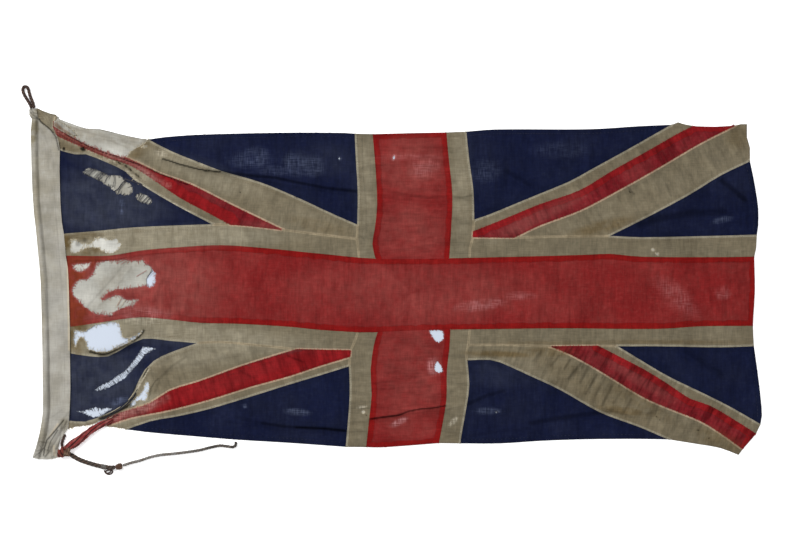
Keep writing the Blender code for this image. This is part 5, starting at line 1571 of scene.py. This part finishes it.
class PanelOperator:
    """What the operators for the wool panels share."""

    def execute(self, context):
        names = [name for name in WOOL_NODES if name.startswith(self.starts)]
        if not names:
            raise RuntimeError(f"the model has no node that starts with {self.starts}")
        sew_panels(names, context.scene.flag_wool)
        return {"FINISHED"}


class FLAG_OT_navy_panels(PanelOperator, bpy.types.Operator):
    """Make the eight blue panels"""

    bl_idname = "flag.navy_panels"
    bl_label = "Navy panels"
    starts = ("navy_",)


class FLAG_OT_white_strips(PanelOperator, bpy.types.Operator):
    """Make the white strips of the saltire"""

    bl_idname = "flag.white_strips"
    bl_label = "White strips"
    starts = ("wide_white_", "narrow_white_")


class FLAG_OT_white_borders(PanelOperator, bpy.types.Operator):
    """Make the white borders of the cross"""

    bl_idname = "flag.white_borders"
    bl_label = "White borders"
    starts = ("border_", "arm_border_")


class FLAG_OT_red_strips(PanelOperator, bpy.types.Operator):
    """Make the red strips of the saltire"""

    bl_idname = "flag.red_strips"
    bl_label = "Red strips"
    starts = ("red_strip_",)


class FLAG_OT_red_cross(PanelOperator, bpy.types.Operator):
    """Make the red cross: its band and its two arms"""

    bl_idname = "flag.red_cross"
    bl_label = "Red cross"
    starts = ("red_cross_", "red_arm_")


def canvas_piece(node, top, settings, material, thickness, shade_lines, soiled, grow=0.0, faded=()):
    """A piece of canvas on its solid's outline, which grows outwards along the hoist."""
    rim = resampled(OUTLINES[node][0], settings.pitch)
    grown = rim[:, 0] < x_at(GROWN_LEFT_OF_PX)
    if node == "backing_patch":
        grown &= (rim[:, 0] < x_at(PATCH_CORNER_PX[0])) | (rim[:, 1] < y_at(PATCH_CORNER_PX[1]))
    rim = moved_out(rim, np.where(grown, grow, 0.0))
    points, faces = filled_sheet([rim], settings.pitch)
    wear = wear_and_shade_attribute(points, soiled, faded, shade_lines, () if faded else CANVAS_PALE)
    if node == "backing_patch":
        # A painted shadow along the patch's rim
        rim_shadow = 0.75 * ease(1.1 - distance_to_loop(points, rim) / 0.0013)
        wear[:, 3] = np.maximum(wear[:, 3], rim_shadow)
    obj = sheet_object(node, points, top(points), faces, thickness, material, {"wear": wear})
    obj.name = f"{node}_canvas"
    return obj, rim


class FLAG_OT_heading(bpy.types.Operator):
    """Make the canvas heading with the hoist rope's bulge in it, and the corner tab"""

    bl_idname = "flag.heading"
    bl_label = "Heading and tab"

    def execute(self, context):
        canvas = context.scene.flag_canvas
        obj, rim = canvas_piece(
            "heading", heading_top, canvas, MATERIALS["heading"], 0.0011, CANVAS_CREASE_SHADE, HEADING_SOILED)
        declare_sheet(obj, "heading", [rim])
        obj, rim = canvas_piece(
            "corner_tab", tab_top, canvas, MATERIALS["tab"], 0.0010, CANVAS_CREASE_SHADE, HEADING_SOILED,
            grow=0.0012)
        declare_sheet(obj, "corner_tab", [rim])
        return {"FINISHED"}


class FLAG_OT_backing_patch(bpy.types.Operator):
    """Make the canvas patch behind the torn hoist, and the stained rag that is left on it"""

    bl_idname = "flag.backing_patch"
    bl_label = "Backing patch"

    def execute(self, context):
        canvas = context.scene.flag_canvas
        obj, rim = canvas_piece(
            "backing_patch", patch_top, canvas, MATERIALS["patch"], 0.0008, CREASE_SHADE_LINES, PATCH_SOILED,
            grow=0.0040, faded=PATCH_PALE)
        declare_sheet(obj, "backing_patch", [rim])
        wool = context.scene.flag_wool
        pitch = wool.pitch * FINE
        rim = ragged(resampled(line_at(RAG_PX), pitch), 0.0004, "rag")
        points, faces = filled_sheet([rim], pitch)
        to_hole = distance_to_loop(points, rim)
        seams = np.column_stack([np.ones((len(points), 3)), np.clip(to_hole / REACH, 0, 1)])
        top = wool_floor(points) + CLOTH + RAG_LIFT + np.abs(ripple(points, 0.012, 13)) * 0.0006
        node = "stained_rag"
        obj = sheet_object(
            node, points, top, faces, THIN_CLOTH, MATERIALS["stained"],
            {"seams": seams, "wear": wear_and_shade_attribute(points, RAG_SOILED), "grain": grain_of(node, points)})
        obj.name = "stained_rag_cloth"
        declare_sheet(obj, node, [rim])
        FRINGES["white"] += fringe_paths(rim, 1, random.Random("rag fringe"), 0.7, 0.006)
        return {"FINISHED"}


class FLAG_OT_ropes(bpy.types.Operator):
    """Make the becket and the short rope at the heading's foot"""

    bl_idname = "flag.ropes"
    bl_label = "Becket and sleeve rope"

    def execute(self, context):
        ropes = context.scene.flag_ropes
        for name, node, route, diameter, pitch in (
                ("becket_rope", "becket", BECKET_ROUTE, ropes.becket, 0.019),
                ("sleeve_rope_end", "sleeve_rope", SLEEVE_ROUTE, ropes.sleeve, 0.018)):
            line = smooth_line(route_in_metres(route, diameter / 2), FINE_STEP)
            obj = laid_rope(
                name, line, ropes.strands, MATERIALS["dark_rope"], pitch=pitch, depth=0.24, sides=18)
            declare(obj, node)
        return {"FINISHED"}


class FLAG_OT_knot(bpy.types.Operator):
    """Make the twisted end of the torn strip, and the knot that holds it"""

    bl_idname = "flag.knot"
    bl_label = "Knot and twisted strip"

    def execute(self, context):
        line = smooth_line(route_in_metres(STRIP_TAIL_ROUTE, radii=STRIP_TAIL_RADIUS), ROPE_STEP)
        obj = laid_rope(
            "twisted_strip_end", line, 5, MATERIALS["torn_red_cloth"], pitch=0.260, depth=0.30, sides=36,
            lumpy=0.13)
        FRINGES["red"] += twisted_edge_paths(line)
        declare(obj, TORN_STRIP)
        middle = at(KNOT_PX)
        for name, material, shift, spread, turns_made, reach, rise, radius, strands in (
                ("knot_cloth", "knot_cloth", -0.0095, 0.0100, 2.0, 0.0070, 0.0064, 0.0042, 2),
                ("knot_rope", "tarred_rope", 0.0005, 0.0100, 2.6, 0.0062, 0.0058, 0.0030, 3)):
            line = []
            for t in shares(60):
                angle = t * math.tau * turns_made + 0.8
                line.append((
                    middle.x + shift + spread * t + 0.0018 * math.cos(angle),
                    middle.y + reach * math.cos(angle) + 0.001, KNOT_HEIGHT + rise * math.sin(angle), radius))
            obj = laid_rope(
                name, smooth_line(line, ROPE_STEP), strands, MATERIALS[material], pitch=0.020, depth=0.28,
                sides=18, seed=3)
            declare(obj, TORN_STRIP)
        return {"FINISHED"}


class FLAG_OT_tail(bpy.types.Operator):
    """Make the hoist rope's tail, its seizing, the thin cord and the twine ring"""

    bl_idname = "flag.tail"
    bl_label = "Rope tail and cord"

    def execute(self, context):
        ropes = context.scene.flag_ropes
        route = route_in_metres(ROPE_TAIL_ROUTE, ropes.tail / 2, ROPE_TAIL_LIFT)
        tail_line = smooth_line(route, ROPE_STEP)
        tail = laid_rope(
            "hoist_rope_tail", tail_line, ropes.strands, MATERIALS["tail_rope"], pitch=0.024, depth=0.22,
            sides=22)
        route = route_in_metres(THIN_CORD_ROUTE, ropes.cord / 2, THIN_CORD_LIFT)
        cord_line = smooth_line(route, ROPE_STEP)
        cord = laid_rope(
            "thin_cord_rope", cord_line, ropes.strands, MATERIALS["thin_cord"], pitch=0.017, depth=0.24,
            sides=16, seed=5)
        start, end = (at(pixel) for pixel in SEIZING_PX)
        run = end - start
        side = Vector((-run.y, run.x)).normalized()
        wraps = []
        for t in shares(110):
            angle = t * math.tau * 6
            along = start + run * (0.05 + 0.88 * t)
            bulge = 0.0030 + 0.0026 * math.sin((t * 0.75 + 0.05) * math.pi) + 0.0005 * math.sin(t * 17)
            wraps.append((
                along.x + side.x * bulge * math.cos(angle), along.y + side.y * bulge * math.cos(angle),
                SEIZING_HEIGHT + bulge * math.sin(angle), 0.0010))
        tarred = MATERIALS["tarred_rope"]
        seizing = laid_rope(
            "seizing_turns", smooth_line(wraps, 0.0011), 2, tarred, pitch=0.006, depth=0.15, sides=8, seed=6)
        core = [(start.x, start.y, SEIZING_HEIGHT, 0.0038), (end.x, end.y, SEIZING_HEIGHT, 0.0034)]
        core_rope = laid_rope(
            "seizing_core", smooth_line(core, ROPE_STEP), 2, tarred, pitch=0.02, depth=0.1, sides=14, seed=7)
        ring = self.twine_ring(ropes)
        whipping = self.whipping(ropes)
        for piece, node in (
                (tail, "rope_tail"), (cord, "thin_cord"), (seizing, "seizing"), (core_rope, "seizing"),
                (ring, "twine_ring"), (whipping, "rope_tail")):
            declare(piece, node)
        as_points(path_of(tail_line))
        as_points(path_of(cord_line))
        return {"FINISHED"}

    @staticmethod
    def whipping(ropes):
        """A few turns of twine round the rope's tail, where the ring hangs."""
        start, end = (at(pixel) for pixel in WHIPPING_PX)
        run = end - start
        side = Vector((-run.y, run.x)).normalized()
        reach = ropes.tail / 2 + 0.0002
        turns = []
        for t in shares(70):
            angle = t * math.tau * 4.5
            place = start + run * t + side * reach * math.cos(angle)
            turns.append((place.x, place.y, 0.0052 + reach * math.sin(angle) * 0.98, 0.0007))
        return laid_rope(
            "tail_whipping", smooth_line(turns, 0.0012), 2, MATERIALS["thin_cord"], pitch=0.006, depth=0.15,
            sides=7, seed=9)

    @staticmethod
    def twine_ring(ropes):
        """Two crossing turns of twine that form a small eye."""
        turns = []
        for i, pixel in enumerate(TWINE_RING):
            place = at(pixel)
            turns.append((place.x, place.y, 0.0014 + 0.00014 * i, ropes.twine / 2))
        return laid_rope(
            "twine_ring_turns", smooth_line(turns, FINE_STEP), 2, MATERIALS["dark_rope"], pitch=0.006,
            depth=0.25, sides=8, seed=8)


def twisted_edge_paths(line):
    """Short broken threads along the lower edge of the twisted strip."""
    draw = random.Random("twisted edge")
    paths = []
    for here, there in zip(line[4:-12:2], line[5:-11:2]):
        run = (there[:2] - here[:2]) / max(np.linalg.norm(there[:2] - here[:2]), SMALL)
        out = np.array([-run[1], run[0]])
        start = here[:2] + out * here[3] * 0.92
        reach = 0.0004 + draw.expovariate(1 / 0.0011)
        lean = run * draw.gauss(0, 0.5) * reach
        paths.append([start + (out * reach + lean) * t for t in THREAD_STEPS])
    return paths


def shares(count):
    return [k / (count - 1) for k in range(count)]


def path_of(line):
    return [tuple(float(part) for part in point[:3]) for point in (*line[::4], line[-1])]


def ladder_threads(draw):
    """The bowed threads that are left across a ladder, each with its radius."""
    for start, end, count, half, lean in LADDERS:
        for k in range(count):
            t = (k + draw.uniform(-0.35, 0.35)) / (count - 1)
            middle = at(start).lerp(at(end), t)
            angle = math.radians(lean + draw.gauss(0, 7))
            reach = half * PIXEL * draw.uniform(0.75, 1.15)
            way = Vector((math.cos(angle), math.sin(angle)))
            bow = Vector((way.y, -way.x)) * 0.0006
            line = np.array([(middle + way * reach * s + bow * s * s)[:] for s in (-1, -0.4, 0.3, 1)])
            heights = surface_height(line[:1])[0] - np.array([0.0, 0.0004, 0.0004, 0.0])
            yield np.column_stack([line, heights]), draw.uniform(0.00018, 0.00042)


class FLAG_OT_threads(bpy.types.Operator):
    """Make the broken thread ends at the tears, the ladders, the loose threads and the dark tubes of painted
    shadow
    """

    bl_idname = "flag.threads"
    bl_label = "Frayed threads"

    def execute(self, context):
        draw = random.Random("ladders")
        paths = {colour: [] for colour in (*FRINGES, "dark")}
        radii = {colour: [] for colour in paths}
        for colour, flat_paths in FRINGES.items():
            starts = surface_height(np.array([path[0] for path in flat_paths]))
            for path, height in zip(flat_paths, starts):
                far_height = height - draw.uniform(0.0006, 0.0014)
                paths[colour].append(laid_on(np.array(path), height - 0.0008, far_height))
                radii[colour].append(draw.uniform(0.00022, 0.00052))
        for path, radius in ladder_threads(draw):
            paths["navy"].append(path)
            radii["navy"].append(radius)
        for colour, radius, pixels in LOOSE_THREADS:
            line = smooth_line([at(pixel) for pixel in pixels], 0.002)
            heights = surface_height(line) + radius
            paths[colour].append(np.column_stack([line, heights]))
            radii[colour].append(radius)
        for colour in paths:
            mesh = tube_mesh(f"{colour}_torn_threads", paths[colour], radii[colour])
            obj = new_object(mesh.name, mesh, MATERIALS[f"{colour}_fray"])
            declare(obj)
        return {"FINISHED"}


def stitch_row(loop, beside, wanted, inset, pitch, length, zigzag, draw):
    """Stitches along the parts of a panel's rim that meet the wanted colours: places, ways and lengths."""
    row = []
    run = np.roll(loop, -1, axis=0) - loop
    gaps = np.linalg.norm(run, axis=1)
    travelled = 0.0
    side = 1
    for i in range(len(loop)):
        if beside[i] not in wanted or gaps[i] < SMALL:
            continue
        travelled += gaps[i]
        if travelled < pitch:
            continue
        travelled = 0.0
        side = -side
        way = run[i] / gaps[i]
        inward = np.array([-way[1], way[0]])
        middle = loop[i] + run[i] * 0.5 + inward * (inset + draw.uniform(-0.0003, 0.0003))
        if inset > SEAM_BAND / 2 and distance_to_loop(middle[None], loop)[0] < inset * 0.8:
            continue
        if zigzag:
            turn = side * zigzag + draw.uniform(-0.1, 0.1)
            way = np.array([[math.cos(turn), -math.sin(turn)], [math.sin(turn), math.cos(turn)]]) @ way
        row.append((middle, way, length * draw.uniform(0.85, 1.1)))
    return row


def stitches_mesh(name, row, width, height):
    """Each stitch is a small ridge of thread that lies on the cloth."""
    middles = np.array([stitch[0] for stitch in row])
    tops = surface_height(middles)
    corners = []
    faces = []
    for (middle, way, length), top in zip(row, tops):
        start = len(corners)
        across = np.array([-way[1], way[0]]) * width / 2
        along = way * length / 2
        for share, sides in ((-1, 1), (-1, -1), (1, -1), (1, 1)):
            place = middle + along * share + across * sides
            corners.append((place[0], place[1], top))
        for share in (-0.45, 0.45):
            place = middle + along * share
            corners.append((place[0], place[1], top + height))
        faces += [
            (start, start + 1, start + 4), (start + 2, start + 3, start + 5),
            (start + 1, start + 2, start + 5, start + 4), (start + 3, start, start + 4, start + 5),
            (start + 3, start + 2, start + 1, start)]
    mesh = bpy.data.meshes.new(name)
    mesh.from_pydata(corners, [], faces)
    return mesh


class FLAG_OT_stitches(bpy.types.Operator):
    """Sew the stitches along the seams and hems"""

    bl_idname = "flag.stitches"
    bl_label = "Stitches"

    def execute(self, context):
        draw = random.Random("stitches")
        rows = {"red": [], "white": [], "navy": [], "zigzag": []}
        for colour, panels in STITCHES.items():
            for name, loop, beside, torn in panels:
                rank = RANK[colour]
                lower = {r for r in RANK.values() if r < rank}
                hem = np.where(torn, -1, beside)
                if lower:
                    for inset in (0.0026, SEAM_BAND - 0.0008):
                        rows[colour] += stitch_row(loop, hem, lower, inset, *SEAM_STITCH, draw)
                rows[colour] += stitch_row(loop, hem, {0}, SEAM_BAND - 0.0012, *HEM_STITCH, draw)
                if name.startswith("red_strip"):
                    rows["zigzag"] += stitch_row(loop, hem, {RANK["white"]}, 0.0004, *ZIGZAG_STITCH, draw)
        for colour, row in rows.items():
            cloth = "red" if colour == "zigzag" else colour
            mesh = stitches_mesh(f"{colour}_stitches", row, STITCH_WIDTH, BAND_RISE[cloth] + STITCH_HEIGHT)
            obj = new_object(mesh.name, mesh, MATERIALS[f"{colour}_thread"])
            declare(obj)
        return {"FINISHED"}


def floor_shadow_mask(nodes, where):
    """A mask for the floor's painted shadow under the flag, which only its holes show, where less light comes
    down.
    """
    parts = nodes.add("ShaderNodeSeparateXYZ")
    nodes.put(parts.inputs[0], where)
    left = nodes.ramp(parts.outputs[0], x_at(64), x_at(70))
    right = nodes.ramp(parts.outputs[0], x_at(740), x_at(748), 1.0, 0.0)
    low = nodes.ramp(parts.outputs[1], y_at(426), y_at(421))
    high = nodes.ramp(parts.outputs[1], y_at(150), y_at(144), 1.0, 0.0)
    return nodes.times(nodes.times(left, right), nodes.times(low, high))


def show_from_below(nodes, shader):
    """Makes the floor clear from below, so that the flag's underside can be looked at."""
    mixed = nodes.add("ShaderNodeMixShader")
    nodes.put(mixed.inputs[0], nodes.add("ShaderNodeNewGeometry").outputs["Backfacing"])
    nodes.put(mixed.inputs[1], shader.outputs[0])
    nodes.put(mixed.inputs[2], nodes.add("ShaderNodeBsdfTransparent").outputs[0])
    nodes.put(nodes.tree.nodes["Material Output"].inputs["Surface"], mixed.outputs[0])


class FLAG_OT_stage(bpy.types.Operator):
    """Set the floor, glowing and with painted shadow under the flag, the soft light and the overhead camera
    """

    bl_idname = "flag.stage"
    bl_label = "Stage"

    def execute(self, context):
        stage = context.scene.flag_stage
        bpy.ops.mesh.primitive_plane_add(size=stage.floor, location=(0, 0, -0.0004))
        floor = context.object
        floor.name = "floor"
        bpy.ops.object.transform_apply(location=True)
        material, nodes, shader, where = new_material("pale_floor", 0.95)
        open_floor = nodes.mix(nodes.noise(where, 1.2, 2.0), (0.93, 0.93, 0.935), (0.90, 0.905, 0.91))
        # Painted shadow: the floor is darker and bluer under the flag, which only its holes show
        floor_shadow = floor_shadow_mask(nodes, where)
        nodes.put(shader.inputs["Base Color"], nodes.mix(floor_shadow, open_floor, (0.52, 0.575, 0.665)))
        # The open floor glows, a painted light that washes out the flag's cast shadows on it
        shader.inputs["Emission Color"].default_value = (1.0, 1.0, 1.0, 1.0)
        glow = nodes.times(nodes.maths("SUBTRACT", 1.0, floor_shadow), 0.45)
        nodes.put(shader.inputs["Emission Strength"], glow)
        show_from_below(nodes, shader)
        floor.data.materials.append(material)
        floor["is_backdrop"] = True
        middle = at((PHOTO_PX[0] / 2, PHOTO_PX[1] / 2))
        camera = bpy.data.objects.new("camera", bpy.data.cameras.new("camera"))
        context.scene.collection.objects.link(camera)
        camera.location = (middle.x, middle.y, stage.height)
        camera.data.lens = stage.lens
        context.scene.camera = camera
        for name, place, size, share in (
                ("soft light", (-2.6, 2.2, 4.2), 2.2, 1.0), ("fill light", (1.2, -1.6, 3.0), 2.4, 0.045)):
            light = bpy.data.lights.new(name, "AREA")
            light.size = size
            light.energy = stage.window * share
            lamp = bpy.data.objects.new(name, light)
            context.scene.collection.objects.link(lamp)
            lamp.location = place
            lamp.rotation_euler = (Vector((0, 0, 0)) - Vector(place)).to_track_quat("-Z", "Y").to_euler()
        world = bpy.data.worlds.new("even light")
        world.use_nodes = True
        world.node_tree.nodes["Background"].inputs["Color"].default_value = (1.0, 1.0, 1.0, 1.0)
        world.node_tree.nodes["Background"].inputs["Strength"].default_value = stage.sky
        context.scene.world = world
        context.scene.view_settings.view_transform = "Standard"
        return {"FINISHED"}


STEPS = (
    FLAG_OT_stage, FLAG_OT_finishes, FLAG_OT_heading, FLAG_OT_backing_patch, FLAG_OT_navy_panels,
    FLAG_OT_white_strips, FLAG_OT_white_borders, FLAG_OT_red_strips, FLAG_OT_red_cross, FLAG_OT_ropes,
    FLAG_OT_knot, FLAG_OT_tail, FLAG_OT_threads, FLAG_OT_stitches)
SETTINGS = {
    "flag_wool": WoolSettings, "flag_canvas": CanvasSettings, "flag_ropes": RopeSettings,
    "flag_stage": StageSettings}


class FLAG_PT_panel(bpy.types.Panel):
    """Lists the flag's settings and its steps in their order"""

    bl_idname = "FLAG_PT_panel"
    bl_label = "Tattered flag"
    bl_space_type = "VIEW_3D"
    bl_region_type = "UI"
    bl_category = "Flag"

    def draw(self, context):
        for key, group in SETTINGS.items():
            box = self.layout.box()
            for prop in group.__annotations__:
                box.prop(getattr(context.scene, key), prop)
        for step in STEPS:
            self.layout.operator(step.bl_idname)


def register():
    for group in SETTINGS.values():
        bpy.utils.register_class(group)
    for key, group in SETTINGS.items():
        setattr(bpy.types.Scene, key, PointerProperty(type=group))
    for step in STEPS:
        bpy.utils.register_class(step)
    bpy.utils.register_class(FLAG_PT_panel)


def unregister():
    bpy.utils.unregister_class(FLAG_PT_panel)
    for step in reversed(STEPS):
        bpy.utils.unregister_class(step)
    for key in SETTINGS:
        delattr(bpy.types.Scene, key)
    for group in SETTINGS.values():
        bpy.utils.unregister_class(group)


def main():
    register()
    for step in STEPS:
        area, name = step.bl_idname.split(".")
        getattr(getattr(bpy.ops, area), name)()
    boxes = {"cad": CAD_BOX, "visual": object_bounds()}
    {key: [[float(x) for x in corner] for corner in box] for key, box in boxes.items()}


if __name__ == "__main__":
    main()
